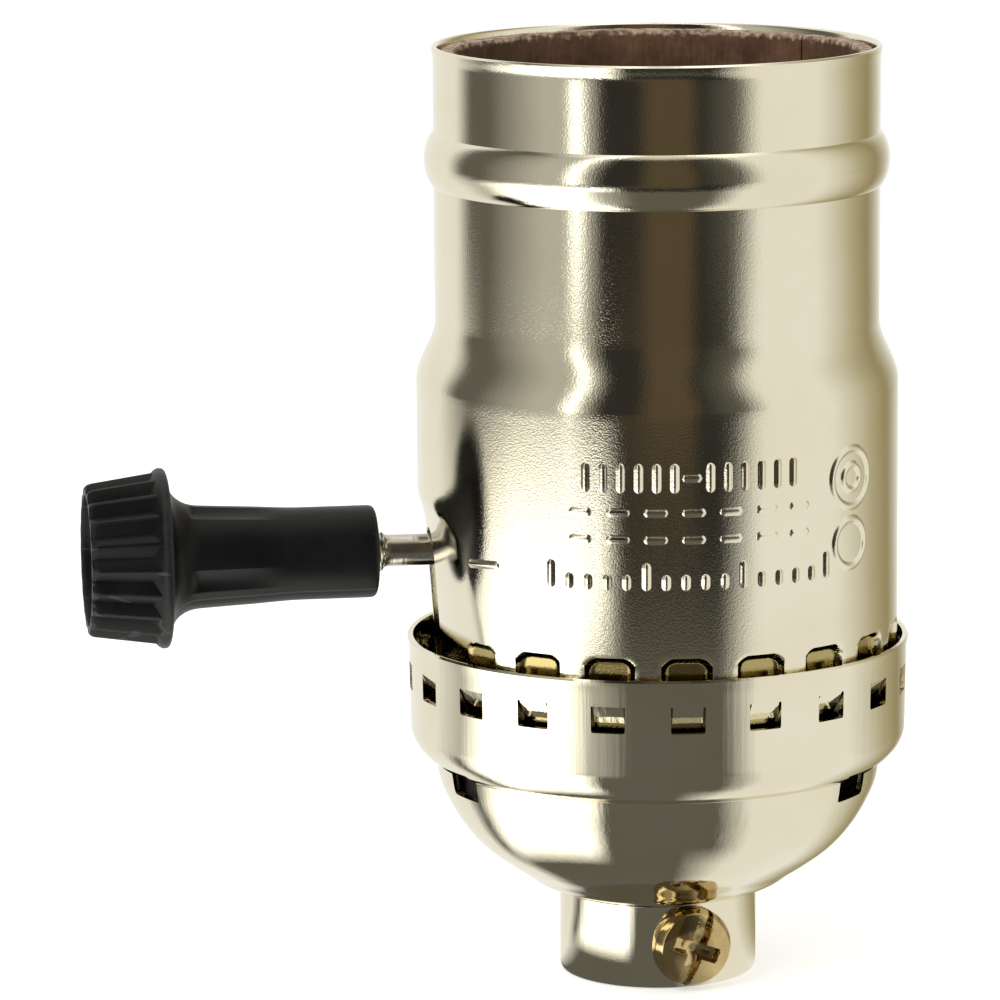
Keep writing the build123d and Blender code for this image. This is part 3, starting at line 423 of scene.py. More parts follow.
def two_skin_sheet(outer, inner, kept):
    """Points and faces of a ring-shaped sheet: outer and inner are (rows, columns, 3) grids."""
    rows, columns, _ = outer.shape
    shift = rows * columns
    padded_rows = np.zeros((rows + 1, columns), bool)
    padded_rows[1:-1] = kept
    below, above = padded_rows[:-1], padded_rows[1:]
    before = np.roll(kept, 1, axis=1)

    def edge_strip(open_edge, rows_on, columns_on, flip):
        """Quads between the skins along open edges that lead so many rows and columns on."""
        row, column = np.nonzero(open_edge)
        a = row * columns + column
        b = (row + rows_on) * columns + (column + columns_on) % columns
        corners = (a, b, b + shift, a + shift) if flip else (b, a, a + shift, b + shift)
        return np.stack(corners, axis=1)[:, ::-1]

    blocks = [
        skin_faces(kept, 0, columns, False),
        skin_faces(kept, shift, columns, True),
        edge_strip(below & ~above, 0, 1, True),
        edge_strip(~below & above, 0, 1, False),
        edge_strip(kept & ~before, 1, 0, True),
        edge_strip(~kept & before, 1, 0, False),
    ]
    faces = np.concatenate(blocks)
    points = np.concatenate([outer.reshape(-1, 3), inner.reshape(-1, 3)])
    used = np.unique(faces)
    renumber = np.full(len(points), -1)
    renumber[used] = np.arange(len(used))
    return points[used], renumber[faces]


def polar_points(radius, angle, height):
    """Grid of points round the Z axis, from radius, angle and height arrays."""
    return np.stack([radius * np.cos(angle), radius * np.sin(angle), height], axis=-1)


def turned_grid(line, angles):
    """Grids of a line of (first, second) places turned to each angle: first, angle, second."""
    line = np.array(line, float)
    shape = (len(line), len(angles))
    first, second = (np.broadcast_to(line[:, column][:, None], shape) for column in (0, 1))
    return first, np.broadcast_to(angles, shape), second


def wrap(angle):
    """Angle brought between -180 and 180 degrees, in radians."""
    return (angle + math.pi) % (2 * math.pi) - math.pi


def soft_step(value, low, high):
    """Smooth step from 0 at low to 1 at high."""
    share = np.clip((value - low) / (high - low), 0, 1)
    return share * share * (3 - 2 * share)


def snap_to_edge(angle, height, distance, reach):
    """Moves grid points that lie within reach of a punched edge onto it; distance is a signed distance."""
    step = 0.002
    radius = 16.0
    here = distance(angle, height)
    slope_a = (distance(angle + step / radius, height) - here) / step
    slope_h = (distance(angle, height + step) - here) / step
    size = np.maximum(slope_a**2 + slope_h**2, 1e-6)
    near = np.abs(here) < reach
    new_angle = np.where(near, angle - here * slope_a / size / radius, angle)
    new_height = np.where(near, height - here * slope_h / size, height)
    return new_angle, new_height


def cell_middles(grid):
    """Values at the middles of the cells of a closed ring grid."""
    beside = np.roll(grid, -1, axis=1)
    return (grid[:-1] + grid[1:] + beside[:-1] + beside[1:]) / 4


print("grid builders ready")

# %% [markdown]
# The outer shell is drawn sheet. Its outline is turned once, and what was pressed into it afterwards,
# the pockets and the flattened side round the knob, only changes the radius at each point.
# So the shell is a grid of heights and angles whose radius is a formula. Modelling it by hand with
# bevels would take longer and would not keep the pockets alike.

# %% Outer shell's sizes
shell_low, shell_high = box_mm("outer_shell")
shell_bottom = shell_low[2]
shell_top = shell_high[2]
lower_radius = shell_high[1]
shaft_radius = 1.6
shaft_z = box_mm("switch_shaft")[0][2] + shaft_radius
shell_wall = 0.4
shell_edge = 0.12
shell_lip = 1.0
upper_radius = lower_radius - 1.3
shoulder_low = shell_top - 22.7
shoulder_high = shell_top - 18.6
bead_low = shell_top - 9.5
bead_high = shell_top - 5.8
bead_rise = 0.65
lip_flare = 0.12
pocket_top = shell_bottom + 7.5
pocket_start = math.radians(-93.4)
pocket_count = 20
pocket_depth = 0.6
pocket_half_width = 1.7
pocket_corner = 0.9
pocket_slope = (-0.32, 0.08)
dish_top = 33.8
dish_step_low = 31.5
dish_step_depth = 0.62
dish_slope = 0.075
dish_curve = 25.0
dish_half_turn = 1.2
dish_blend = 0.12
dish_soft = 0.35
slot_half_width = 1.5
print("shell from", round(shell_bottom, 2), "to", round(shell_top, 2), "radius", round(lower_radius, 2))

# %% Outer shell's surface
def shell_profile(height):
    """Radius of the turned outline at each height."""
    shoulder = 1 - soft_step(height, shoulder_low, shoulder_high)
    radius = upper_radius + (lower_radius - upper_radius) * shoulder
    across_bead = np.clip((height - bead_low) / (bead_high - bead_low), 0, 1) * 2 - 1
    radius = radius + bead_rise * np.maximum(1 - across_bead**2, 0) ** 0.8
    return radius + lip_flare * soft_step(height, shell_top - shell_lip, shell_top)


def rounded_box(across, up, half_width, low, high, corner):
    """Signed distance to an upright box with rounded corners, in millimetres."""
    x = np.abs(across) - half_width + corner
    z = np.abs(up - (low + high) / 2) - (high - low) / 2 + corner
    outside = np.hypot(np.maximum(x, 0), np.maximum(z, 0))
    return outside + np.minimum(np.maximum(x, z), 0) - corner


def slot_distance(angle, height, radius=lower_radius, half_width=slot_half_width):
    """Signed distance to a slot that is open below and round about the shaft, negative inside it."""
    across = radius * wrap(angle - math.pi)
    up = height - shaft_z
    return np.where(up > 0, np.hypot(across, up), np.abs(across)) - half_width


def soft_plus(value):
    """Zero below zero, and the value above it, with a short smooth start."""
    return np.where(value > 1, value - 0.5, np.where(value > 0, 0.5 * value**2, 0))


def dished_radius(angle, height, inset):
    """Radius of the flattened side round the knob: a flatter curve whose centre lies off the axis."""
    turned = wrap(angle - math.pi)
    fall = dish_top - dish_step_low + 2 * dish_soft
    step = dish_step_depth * soft_step(dish_top + dish_soft - height, 0, fall)
    depth = step + dish_slope * soft_plus(dish_step_low - height)
    centre = dish_curve - lower_radius + depth
    side = centre * np.cos(turned)
    pressed = np.sqrt(np.maximum((dish_curve - inset) ** 2 - centre**2 + side**2, 0)) - side
    return np.where(np.abs(turned) < dish_half_turn, pressed, lower_radius * 6)


def shell_surface(angle, height, inset):
    """Radius of the shell at each angle and height, moved in by inset for the inner skin."""
    radius = shell_profile(height) - inset
    pocket_turn = wrap((angle - pocket_start) * pocket_count) / pocket_count
    across = lower_radius * pocket_turn
    half, top = pocket_half_width + inset, pocket_top + inset
    pocket = rounded_box(across, height, half, shell_bottom - 3, top, pocket_corner)
    floor = (lower_radius - pocket_depth - inset) / np.cos(pocket_turn)
    share = 1 - soft_step(pocket, *pocket_slope)
    radius = radius + (np.minimum(floor, radius) - radius) * share
    pressed = dished_radius(angle, height, inset)
    share = np.clip(0.5 + 0.5 * (pressed - radius) / dish_blend, 0, 1)
    smooth = pressed * (1 - share) + radius * share - dish_blend * share * (1 - share)
    return np.where(height < dish_top + 2, smooth, radius)


def spread(*parts):
    """Joins even runs of (start, end, steps) into one sorted list of grid lines."""
    runs = [np.linspace(start, end, steps, endpoint=False) for start, end, steps in parts]
    return np.concatenate(runs + [[parts[-1][1]]])


# %% Build the outer shell
fine_low = shell_bottom + 6.0
fine_high = dish_top + 0.6
shell_heights = spread(
    (shell_bottom, shell_bottom + shell_edge, 2),
    (shell_bottom + shell_edge, fine_low, 12),
    (fine_low, fine_high, 78),
    (fine_high, shoulder_low, 12),
    (shoulder_low, shoulder_high, 22),
    (shoulder_high, bead_low, 14),
    (bead_low, bead_high, 26),
    (bead_high, shell_top - shell_lip, 8),
    (shell_top - shell_lip, shell_top - shell_edge, 5),
    (shell_top - shell_edge, shell_top, 2),
)
column_count = 24 * pocket_count
shell_angles = pocket_start + np.arange(column_count) * 2 * math.pi / column_count
near_slot = np.abs(wrap(shell_angles - math.pi)) < math.radians(16)
extra_angles = shell_angles[near_slot] + math.pi / column_count
shell_angles = np.sort(np.concatenate([shell_angles, extra_angles]))
angle_grid, height_grid = np.meshgrid(shell_angles, shell_heights)
angle_grid, height_grid = snap_to_edge(angle_grid, height_grid, slot_distance, 0.11)
outer_radius = shell_surface(angle_grid, height_grid, 0)
inner_radius = shell_surface(angle_grid, height_grid, shell_wall)
from_end = np.minimum(height_grid - shell_bottom, shell_top - height_grid)
rounding = shell_edge - np.minimum(from_end, shell_edge)
outer_radius = outer_radius - rounding
inner_radius = inner_radius + rounding
kept_cells = cell_middles(slot_distance(angle_grid, height_grid)) > 0
points, faces = two_skin_sheet(
    polar_points(outer_radius, angle_grid, height_grid),
    polar_points(inner_radius, angle_grid, height_grid),
    kept_cells,
)
shell_metal = mesh_object("shell_metal", points, faces, shell_finish)
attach(shell_metal, "shell_cover")
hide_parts("outer_shell")
print("shell faces:", len(faces))

# %% [markdown]
# The press also raises a few plain marks on the shell: a dash beside the knob, short rules and rings.
# Each is a narrow ridge swept along a path on the unrolled shell. Its two edges sink just under the
# sheet, so no seam shows, and it is much lighter than refining the whole shell for a few ridges.

# %% Raised marks
relief_points = []
relief_faces = []
ridge_half = 0.34
ridge_rise = 0.17
ridge_sunk = 0.012
ridge_offsets = np.linspace(-1, 1, 13)


def raised_ridge(path, closed):
    """Adds one ridge along a path of (angle in degrees, height) places on the shell."""
    path = np.array(path, float)
    flat = np.stack([np.radians(path[:, 0]) * lower_radius, path[:, 1]], axis=1)
    if closed:
        run = np.roll(flat, -1, axis=0) - np.roll(flat, 1, axis=0)
        end_share = np.ones(len(flat))
    else:
        run = np.gradient(flat, axis=0)
        length = np.concatenate([[0], np.cumsum(np.linalg.norm(np.diff(flat, axis=0), axis=1))])
        to_end = np.clip(np.minimum(length, length[-1] - length) / ridge_half, 0.02, 1)
        end_share = np.sqrt(to_end * (2 - to_end))
    run /= np.linalg.norm(run, axis=1)[:, None]
    side = np.stack([-run[:, 1], run[:, 0]], axis=1)
    reach = ridge_offsets[None, :, None] * ridge_half * end_share[:, None, None]
    spots = flat[:, None, :] + side[:, None, :] * reach
    angle = spots[..., 0] / lower_radius
    bump = ridge_rise * (0.5 + 0.5 * np.cos(ridge_offsets * math.pi)) ** 0.75
    height = bump[None, :] * end_share[:, None] - ridge_sunk
    radius = shell_surface(angle, spots[..., 1], 0) + height
    first = sum(len(block) for block in relief_points)
    relief_points.append(polar_points(radius, angle, spots[..., 1]).reshape(-1, 3))
    count, wide = len(flat), len(ridge_offsets)
    for step in range(count if closed else count - 1):
        following = (step + 1) % count
        for across_step in range(wide - 1):
            a = first + step * wide + across_step
            b = first + following * wide + across_step
            relief_faces.append((a, a + 1, b + 1, b))


def line_between(start, end):
    """Places along a straight mark, closer together at its ends."""
    share = 0.5 - 0.5 * np.cos(np.linspace(0, math.pi, 30))
    return [(start[0] + (end[0] - start[0]) * s, start[1] + (end[1] - start[1]) * s) for s in share]


def ring_round(centre, radius):
    """Places round a ring mark."""
    around = np.arange(56) * 2 * math.pi / 56
    wide = math.degrees(radius / lower_radius)
    return [(centre[0] + wide * math.cos(t), centre[1] + radius * math.sin(t)) for t in around]


raised_ridge(line_between((-150.4, 30.3), (-140.0, 30.5)), False)
for tick in range(13):
    tick_angle = -117.0 + tick * 4.15
    if tick == 6:
        raised_ridge(line_between((-94.6, 37.0), (-89.9, 37.0)), False)
    else:
        raised_ridge(line_between((tick_angle, 36.0), (tick_angle, 38.0)), False)
for rule in range(7):
    rule_angle = -121.0 + rule * 8.8
    for rule_z in (34.7, 32.9):
        raised_ridge(line_between((rule_angle, rule_z), (rule_angle + 5.6, rule_z)), False)
for tick in range(16):
    tick_angle = -125.5 + tick * 4.55
    tick_top = 31.4 if tick % 5 == 0 else 30.6
    raised_ridge(line_between((tick_angle, 29.5), (tick_angle, tick_top)), False)
for centre, radius in (((-48.5, 36.0), 1.95), ((-48.5, 36.0), 0.85), ((-48.8, 31.6), 1.6)):
    raised_ridge(ring_round(centre, radius), True)
raised_marks = mesh_object("raised_marks", np.concatenate(relief_points), relief_faces, shell_finish, 80)
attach(raised_marks, "shell_cover")
print("raised marks:", len(relief_points))

# %% [markdown]
# The liner is vulcanised fibre, a dark brown paper board rolled into a tube. It keeps the live screw
# shell away from the outer shell. Its cut end is the one place where the board shows its layers:
# it is paler, a little torn, and never quite level. The tube is a grid like the shell's, and its end
# is lifted and lowered by a sum of waves, so no two places are alike but every run is the same.

# %% Fibre finish
fibre_dark = (0.058, 0.029, 0.015)
fibre_brown = (0.155, 0.082, 0.045)
fibre_torn = (0.16, 0.10, 0.07)
fibre_pale = (0.56, 0.40, 0.28)
torn_length = 0.55


def fibre_finish():
    """Brown board: long soft fibres along the tube, mottling, and a pale torn end."""
    material, tree, spot = start_finish("vulcanised_fibre")
    mottle = noise_node(tree, spot, 330.0, 5.0, 0.65)
    tone = ramp_node(tree, mottle, [(0.32, fibre_dark), (0.68, fibre_brown)])
    hairs = noise_node(tree, stretched_spot(tree, spot, (1.0, 1.0, 0.12)), 3800.0, 3.0)
    streak = ramp_node(tree, hairs, [(0.40, (0.88, 0.88, 0.88)), (0.75, (1.22, 1.20, 1.18))])
    body = mix_colour(tree, 1.0, tone, streak, "MULTIPLY")
    grain = noise_node(tree, spot, 1900.0, 4.0)
    height = new_node(tree, "ShaderNodeSeparateXYZ", {0: spot}).outputs["Z"]
    end_line = math_node(tree, "SUBTRACT", height, (liner_top - torn_length) * MM)
    ragged = math_node(tree, "MULTIPLY", math_node(tree, "SUBTRACT", grain, 0.5), 0.0013)
    end_share = math_node(tree, "DIVIDE", math_node(tree, "ADD", end_line, ragged), 0.0003, clamp=True)
    torn = ramp_node(tree, grain, [(0.30, fibre_torn), (0.62, fibre_pale)])
    colour = mix_colour(tree, end_share, body, torn)
    hair_bump = bump_node(tree, hairs, 0.6, 0.00006)
    grain_bump = bump_node(tree, grain, 0.5, 0.00010, hair_bump)
    end_finish(tree, Base_Color=colour, Roughness=0.62, Specular_IOR_Level=0.35, Normal=grain_bump)
    return material


# %% Liner tube
liner_low, liner_high = box_mm("insulating_liner")
liner_bottom = liner_low[2]
liner_top = liner_high[2]
liner_outer = liner_high[1]
liner_inner = liner_outer - 0.95
liner_slot_half = 2.1
liner_seam_angle = math.radians(33)
liner_columns = 540
frayed = liner_top - 1.2
fibre = fibre_finish()


def liner_distance(angle, height):
    """Signed distance to the liner's slot, negative inside it."""
    return slot_distance(angle, height, liner_outer, liner_slot_half)


liner_heights = spread(
    (liner_bottom, shaft_z + 3, 44),
    (shaft_z + 3, frayed, 24),
    (frayed, liner_top, 12),
)
liner_angles = liner_seam_angle + np.arange(liner_columns) * 2 * math.pi / liner_columns
liner_angle, liner_height = np.meshgrid(liner_angles, liner_heights)
liner_angle, liner_height = snap_to_edge(liner_angle, liner_height, liner_distance, 0.16)
end_share = soft_step(liner_height, frayed, liner_top)
waves = sum(np.sin(k * liner_angle + k * k) / k**0.5 for k in (5, 13, 29, 47, 83, 131)) / 3.4
tear_outer = 0.16 * end_share * (waves - 1)
tear_inner = 0.22 * end_share * (np.roll(waves, 7, axis=1) - 1)
thin = 0.10 * soft_step(liner_height, liner_top - 0.35, liner_top)
liner_kept = cell_middles(liner_distance(liner_angle, liner_height)) > 0
liner_kept[:, -1] = False
points, faces = two_skin_sheet(
    polar_points(liner_outer - thin, liner_angle, liner_height + tear_outer),
    polar_points(liner_inner + thin * (1 + waves), liner_angle, liner_height + tear_inner),
    liner_kept,
)
liner_tube = mesh_object("liner_tube", points, faces, fibre, 50)
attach(liner_tube, "shell_cover")
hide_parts("insulating_liner")
print("liner faces:", len(faces))

# %% [markdown]
# A few loose hairs stand up from the torn end. Particles would do this too, but they don't export.
# Each hair here is a short three-sided sliver of mesh, bent a little, from a seeded random list.

# %% Hairs on the liner's end
hair_maker = np.random.default_rng(11)
hair_rings = 4
hair_sides = 3
hair_points = []
hair_faces = []
for _ in range(420):
    around = hair_maker.uniform(0, 2 * math.pi)
    out = hair_maker.uniform(liner_inner + 0.1, liner_outer - 0.1)
    length = hair_maker.uniform(0.12, 0.42)
    lean = hair_maker.normal(0, 0.45, 2)
    width = hair_maker.uniform(0.010, 0.022)
    if abs(wrap(around - liner_seam_angle)) < 0.03:
        continue
    root = np.array([out * math.cos(around), out * math.sin(around), liner_top - 0.42])
    outward = np.array([math.cos(around), math.sin(around), 0])
    along = np.array([-math.sin(around), math.cos(around), 0])
    first = len(hair_points)
    for step in range(hair_rings):
        share = step / (hair_rings - 1)
        bend = lean * share**1.6 * length
        upright = np.array([0, 0, length * share + 0.12 * share])
        middle = root + outward * bend[0] * 0.5 + along * bend[1] + upright
        size = width * (1 - 0.8 * share)
        for side in range(hair_sides):
            phase = side * 2 * math.pi / hair_sides
            hair_points.append(middle + size * (outward * math.cos(phase) + along * math.sin(phase)))
    hair_faces += skin_faces(np.ones((hair_rings - 1, hair_sides), bool), first, hair_sides, False).tolist()
    last = first + (hair_rings - 1) * hair_sides
    hair_faces += [(last, last + 1, last + 2), (first + 2, first + 1, first)]
hair_points = np.array(hair_points)
hair_points[:, 2] = np.minimum(hair_points[:, 2], shell_top - 0.02)
liner_hairs = mesh_object("liner_hairs", hair_points, hair_faces, fibre)
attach(liner_hairs, "shell_cover")
print("hairs:", len(hair_points) // (hair_rings * hair_sides))

# %% [markdown]
# The cap is drawn from the same sheet as the shell. Its section is one curve from the flat floor
# round the bowl, over the neck and up the band. A curve through a few known points, sampled finely,
# gives the mirror a surface without facets. The crimp windows and the vents are punched the same way
# as the shell's slot, and each window's metal is bent in as a tab.

# %% Cap's section
hub_top = 5.95
cap_high = box_mm("cap")[1]
rim_z = cap_high[2]
rim_flare = 0.15
band_radius = cap_high[1] - rim_flare
band_taper = 0.1
neck_z = rim_z - 9.3
band_z = rim_z - 6.3
flare_z = rim_z - 0.9
bowl_radius = 15.1
cap_wall = 0.4
cap_edge = 0.12
floor_start = 5.64
floor_end = 6.5


def smooth_curve(knots, first_tangent, last_tangent, count):
    """Points along a smooth curve through the knots, by Hermite pieces with averaged tangents."""
    knots = np.array(knots, float)
    spans = np.linalg.norm(np.diff(knots, axis=0), axis=1)
    places = np.concatenate([[0], np.cumsum(spans)])
    slopes = np.diff(knots, axis=0) / spans[:, None]
    tangents = np.zeros_like(knots)
    for index in range(1, len(knots) - 1):
        before, after = spans[index - 1], spans[index]
        tangents[index] = (after * slopes[index - 1] + before * slopes[index]) / (before + after)
    tangents[0] = np.array(first_tangent) / np.hypot(*first_tangent)
    tangents[-1] = np.array(last_tangent) / np.hypot(*last_tangent)
    where = np.linspace(0, places[-1], count)
    piece = np.clip(np.searchsorted(places, where, side="right") - 1, 0, len(spans) - 1)
    t = ((where - places[piece]) / spans[piece])[:, None]
    size = spans[piece][:, None]
    start, end = knots[piece], knots[piece + 1]
    lead, trail = tangents[piece] * size, tangents[piece + 1] * size
    cube, square = t**3, t**2
    return (
        (2 * cube - 3 * square + 1) * start
        + (cube - 2 * square + t) * lead
        + (3 * square - 2 * cube) * end
        + (cube - square) * trail
    )


bowl_line = smooth_curve(
    [
        (floor_end, hub_top),
        (7.6, 6.08),
        (8.6, 6.52),
        (9.55, 7.2),
        (10.67, 7.95),
        (12.37, 9.3),
        (13.55, 10.7),
        (14.38, 12.1),
        (14.98, 13.5),
        (bowl_radius + 0.13, neck_z + 0.55),
    ],
    (1, 0),
    (0.16, 1),
    96,
)
neck_line = smooth_curve(
    [
        (bowl_radius + 0.16, neck_z + 0.62),
        (16.19, 15.66),
        (16.71, 16.36),
        (band_radius - band_taper, band_z),
    ],
    (1, 0.55),
    (0, 1),
    40,
)
band_shares = np.arange(1, 25) / 24
flare_shares = np.arange(1, 7) / 6
band_line = [(band_radius - band_taper * (1 - s), band_z + (flare_z - band_z) * s) for s in band_shares]
flare_line = [(band_radius + rim_flare * s**1.5, flare_z + (rim_z - flare_z) * s) for s in flare_shares]
floor_line = [(floor_start, hub_top), (6.0, hub_top)]
cap_line = np.concatenate([floor_line, bowl_line, neck_line, band_line, flare_line])
along_line = np.gradient(cap_line, axis=0)
along_line /= np.linalg.norm(along_line, axis=1)[:, None]
inward = np.stack([-along_line[:, 1], along_line[:, 0]], axis=1)
inner_line = cap_line + inward * cap_wall
inner_line[:, 1] = np.maximum(inner_line[:, 1], hub_top + cap_wall)
inner_line[-1, 1] = rim_z
edge_cut = np.clip(cap_line[:, 1] - (rim_z - cap_edge), 0, cap_edge)
cap_line[:, 0] -= edge_cut
inner_line[:, 0] += edge_cut
print("cap rim", round(rim_z, 2), "bowl height", round(neck_z - hub_top, 2))

# %% Build the cap
window_top = rim_z - 1.7
window_bottom = window_top - 1.9
window_half = 1.15
tab_half = 1.0
tab_thickness = 0.34
vent_count = 3
vent_start = math.radians(-40)
vent_low = neck_z - 0.8
vent_high = neck_z + 1.2
vent_half = 1.7


def window_distance(angle, height):
    """Signed distance to the nearest window or vent, negative inside it."""
    turned = wrap((angle - pocket_start) * pocket_count) / pocket_count
    window = rounded_box(band_radius * turned, height, window_half, window_bottom, window_top, 0.12)
    vent_turn = wrap((angle - vent_start) * vent_count) / vent_count
    vent = rounded_box(bowl_radius * vent_turn, height, vent_half, vent_low, vent_high, 0.25)
    return np.minimum(window, vent)


cap_columns = 36 * pocket_count
cap_angles = pocket_start + np.arange(cap_columns) * 2 * math.pi / cap_columns
cap_angle, cap_row = np.meshgrid(cap_angles, np.arange(len(cap_line)))
cap_height = np.broadcast_to(cap_line[:, 1][:, None], cap_angle.shape)
cap_angle, moved_height = snap_to_edge(cap_angle, cap_height, window_distance, 0.085)
section_rows = np.arange(len(cap_line))
rising_height = np.maximum.accumulate(cap_line[:, 1] + section_rows * 1e-7)
moved_row = np.interp(moved_height, rising_height, section_rows)
moved_row = np.where(np.abs(moved_height - cap_height) > 1e-9, moved_row, cap_row)


def along_section(line, row, angle):
    """Points of a section line at fractional rows, turned to each angle."""
    radius, height = (np.interp(row, section_rows, line[:, column]) for column in (0, 1))
    return polar_points(radius, angle, height)


cap_kept = cell_middles(window_distance(cap_angle, moved_height)) > 0
points, faces = two_skin_sheet(
    along_section(cap_line, moved_row, cap_angle),
    along_section(inner_line, moved_row, cap_angle),
    cap_kept,
)
tab_points = []
tab_faces = []
tab_line = [(16.68, 0.12), (16.60, -0.10), (16.30, -0.65), (16.02, -1.2)]
for number in range(pocket_count):
    angle = pocket_start + number * 2 * math.pi / pocket_count
    outward = np.array([math.cos(angle), math.sin(angle), 0])
    beside = np.array([-math.sin(angle), math.cos(angle), 0])
    first = len(tab_points)
    for radius, height in tab_line:
        for depth in (0, tab_thickness):
            level = np.array([0, 0, window_top + height - depth * 0.25])
            for side in (-tab_half, tab_half):
                tab_points.append(outward * (radius + depth) + beside * side + level)
    for step in range(len(tab_line) - 1):
        a = first + 4 * step
        tab_faces += [(a, a + 1, a + 5, a + 4), (a + 2, a + 6, a + 7, a + 3)]
        tab_faces += [(a, a + 4, a + 6, a + 2), (a + 1, a + 3, a + 7, a + 5)]
    last = first + 4 * (len(tab_line) - 1)
    tab_faces += [(first, first + 2, first + 3, first + 1), (last, last + 1, last + 3, last + 2)]
all_points = np.concatenate([points, np.array(tab_points)])
all_faces = np.concatenate([faces, np.array(tab_faces) + len(points)])
cap_metal = mesh_object("cap_metal", all_points, all_faces, cap_finish)
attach(cap_metal, "socket")
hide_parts("cap")
print("cap faces:", len(all_faces))

# %% [markdown]
# The hub is a turned bushing. A lamp pipe screws into it, so its bore carries a fine thread.
# A thread is a radius that depends on height and angle together, so the same grid makes it:
# one extra turn of angle lifts the groove by one pitch. Foot, bore and top ring are one grid, from
# the foot's outer edge up through the bore and over the top. The outside wall is a grid of its own,
# because the set screw's hole is cut in it.

# %% Hub
pipe_radius = 4.75
hub_radius = box_mm("hub")[1][0]
pipe_pitch = 25.4 / 27
pipe_thread = 0.42
hub_columns = 288
set_screw_angle = math.radians(-82.5)
set_screw_z = 2.9
screw_hole = 2.11


def hole_distance(angle, height):
    """Signed distance to the set screw's hole."""
    return np.hypot(hub_radius * wrap(angle - set_screw_angle), height - set_screw_z) - screw_hole


hub_outside = np.array(
    [(hub_radius - 0.45, 0), (hub_radius - 0.18, 0.05), (hub_radius - 0.05, 0.18), (hub_radius, 0.40)]
    + [(hub_radius, 0.40 + (hub_top - 0.55) * k / 36) for k in range(1, 37)]
    + [(hub_radius - 0.04, hub_top - 0.07), (hub_radius - 0.15, hub_top), (5.9, hub_top)]
)
hub_angles = np.arange(hub_columns) * 2 * math.pi / hub_columns
hub_r, hub_angle, hub_height = turned_grid(hub_outside, hub_angles)
hub_angle, hub_height = snap_to_edge(hub_angle, hub_height, hole_distance, 0.07)
outside_points = polar_points(hub_r, hub_angle, hub_height)
outside_kept = cell_middles(hole_distance(hub_angle, hub_height)) > 0
bore_line = [(pipe_radius, z) for z in np.linspace(0.35, 6.8, 96)]
bore_r, bore_angle, bore_z = turned_grid(bore_line, hub_angles)
turns = bore_z / pipe_pitch - bore_angle / (2 * math.pi)
tooth = np.abs((turns % 1.0) * 2 - 1)
fade = soft_step(bore_z, 0.35, 1.0) * (1 - soft_step(bore_z, 6.1, 6.75))
bore_points = polar_points(bore_r + pipe_thread * (0.5 - tooth) * fade, bore_angle, bore_z)
foot_line = [(hub_radius - 0.45, 0), (5.05, 0), (4.85, 0.12)]
top_line = [(4.95, 6.85), (5.35, 6.85), (5.6, 6.73), (5.95, 6.45), (6.08, 6.37)]
foot_points, top_points = (polar_points(*turned_grid(line, hub_angles)) for line in (foot_line, top_line))
inside_points = np.concatenate([foot_points, bore_points, top_points])
inside_kept = np.ones((len(inside_points) - 1, hub_columns), bool)
hub_points = np.concatenate([outside_points.reshape(-1, 3), inside_points.reshape(-1, 3)])
hub_faces = np.concatenate(
    [
        skin_faces(outside_kept, 0, hub_columns, False),
        skin_faces(inside_kept, outside_points.shape[0] * hub_columns, hub_columns, True),
    ]
)
hub_metal = mesh_object("hub_metal", hub_points, hub_faces, hub_finish, 35)
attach(hub_metal, "socket")
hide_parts("hub")
print("hub faces:", len(hub_metal.data.polygons))

# %% [markdown]
# The knob is moulded plastic, satin black. Twenty V-shaped flutes run along its crown and run out on
# a bevelled flange, which leaves a zigzag line there. Taking the larger of two radii, the fluted
# crown's and the bevel's, draws that zigzag exactly where the two surfaces meet.

# %% Knob's surface
knob_low, knob_high = box_mm("knob")
knob_start = knob_high[0]
knob_length = knob_start - knob_low[0]
flute_count = 20
flute_depth = 0.47
flute_turn = math.radians(11.3)
scoop_count = 4
scoop_turn = math.radians(71)
scoop_half_turn = math.radians(14)
scoop_depth = 0.28
bevel_start = knob_length - 4.82
bevel_radius = 6.06
crest_start = 5.87
crest_fall = 0.145
end_corner = 0.45


def flute_groove(angle):
    """Depth of the flutes at each angle: a V with a narrow flat crest between."""
    tooth = np.abs((((angle - flute_turn) * flute_count / (2 * math.pi)) % 1.0) * 2 - 1)
    return flute_depth * np.clip(tooth * 1.12 - 0.12, 0, 1)


def crown_radius(distance, angle):
    """Radius of the fluted crown, or of the flange's bevel where that stands higher."""
    along = distance - bevel_start
    return np.maximum(crest_start - crest_fall * along - flute_groove(angle), bevel_radius - along)


def fine_line(line, longest):
    """The same outline with no step longer than the given length."""
    points = []
    for (start_d, start_r), (end_d, end_r) in zip(line[:-1], line[1:]):
        steps = max(1, int(math.ceil((end_d - start_d) / longest)))
        shares = [k / steps for k in range(steps)]
        points += [(start_d + (end_d - start_d) * s, start_r + (end_r - start_r) * s) for s in shares]
    return np.array(points)


# %% Build the knob
knob_columns = 32 * flute_count
knob_angles = flute_turn + np.arange(knob_columns) * 2 * math.pi / knob_columns
neck_radius = 3.14
neck_end_line = [(0.0, 2.86), (0.06, 2.99), (0.16, 3.08), (0.30, 3.12), (0.48, neck_radius)]
neck_curve = smooth_curve([(5.1, neck_radius), (8.5, 3.31), (12.0, 3.49)], (1, 0), (1, 0.06), 18)
flare_knots = [(12.0, 3.49), (13.1, 3.77), (13.78, 4.36), (14.05, 5.0)]
flare_curve = smooth_curve(flare_knots, (1, 0.06), (0.12, 1), 26)
flange_line = [(14.12, 5.55), (14.16, 5.84), (14.22, 5.98), (14.33, 6.07), (14.47, 6.10), (14.64, 6.10)]
flange_line += [(bevel_start, bevel_radius)]
lower_line = fine_line(np.concatenate([neck_end_line, neck_curve[:-1], flare_curve, flange_line]), 0.4)
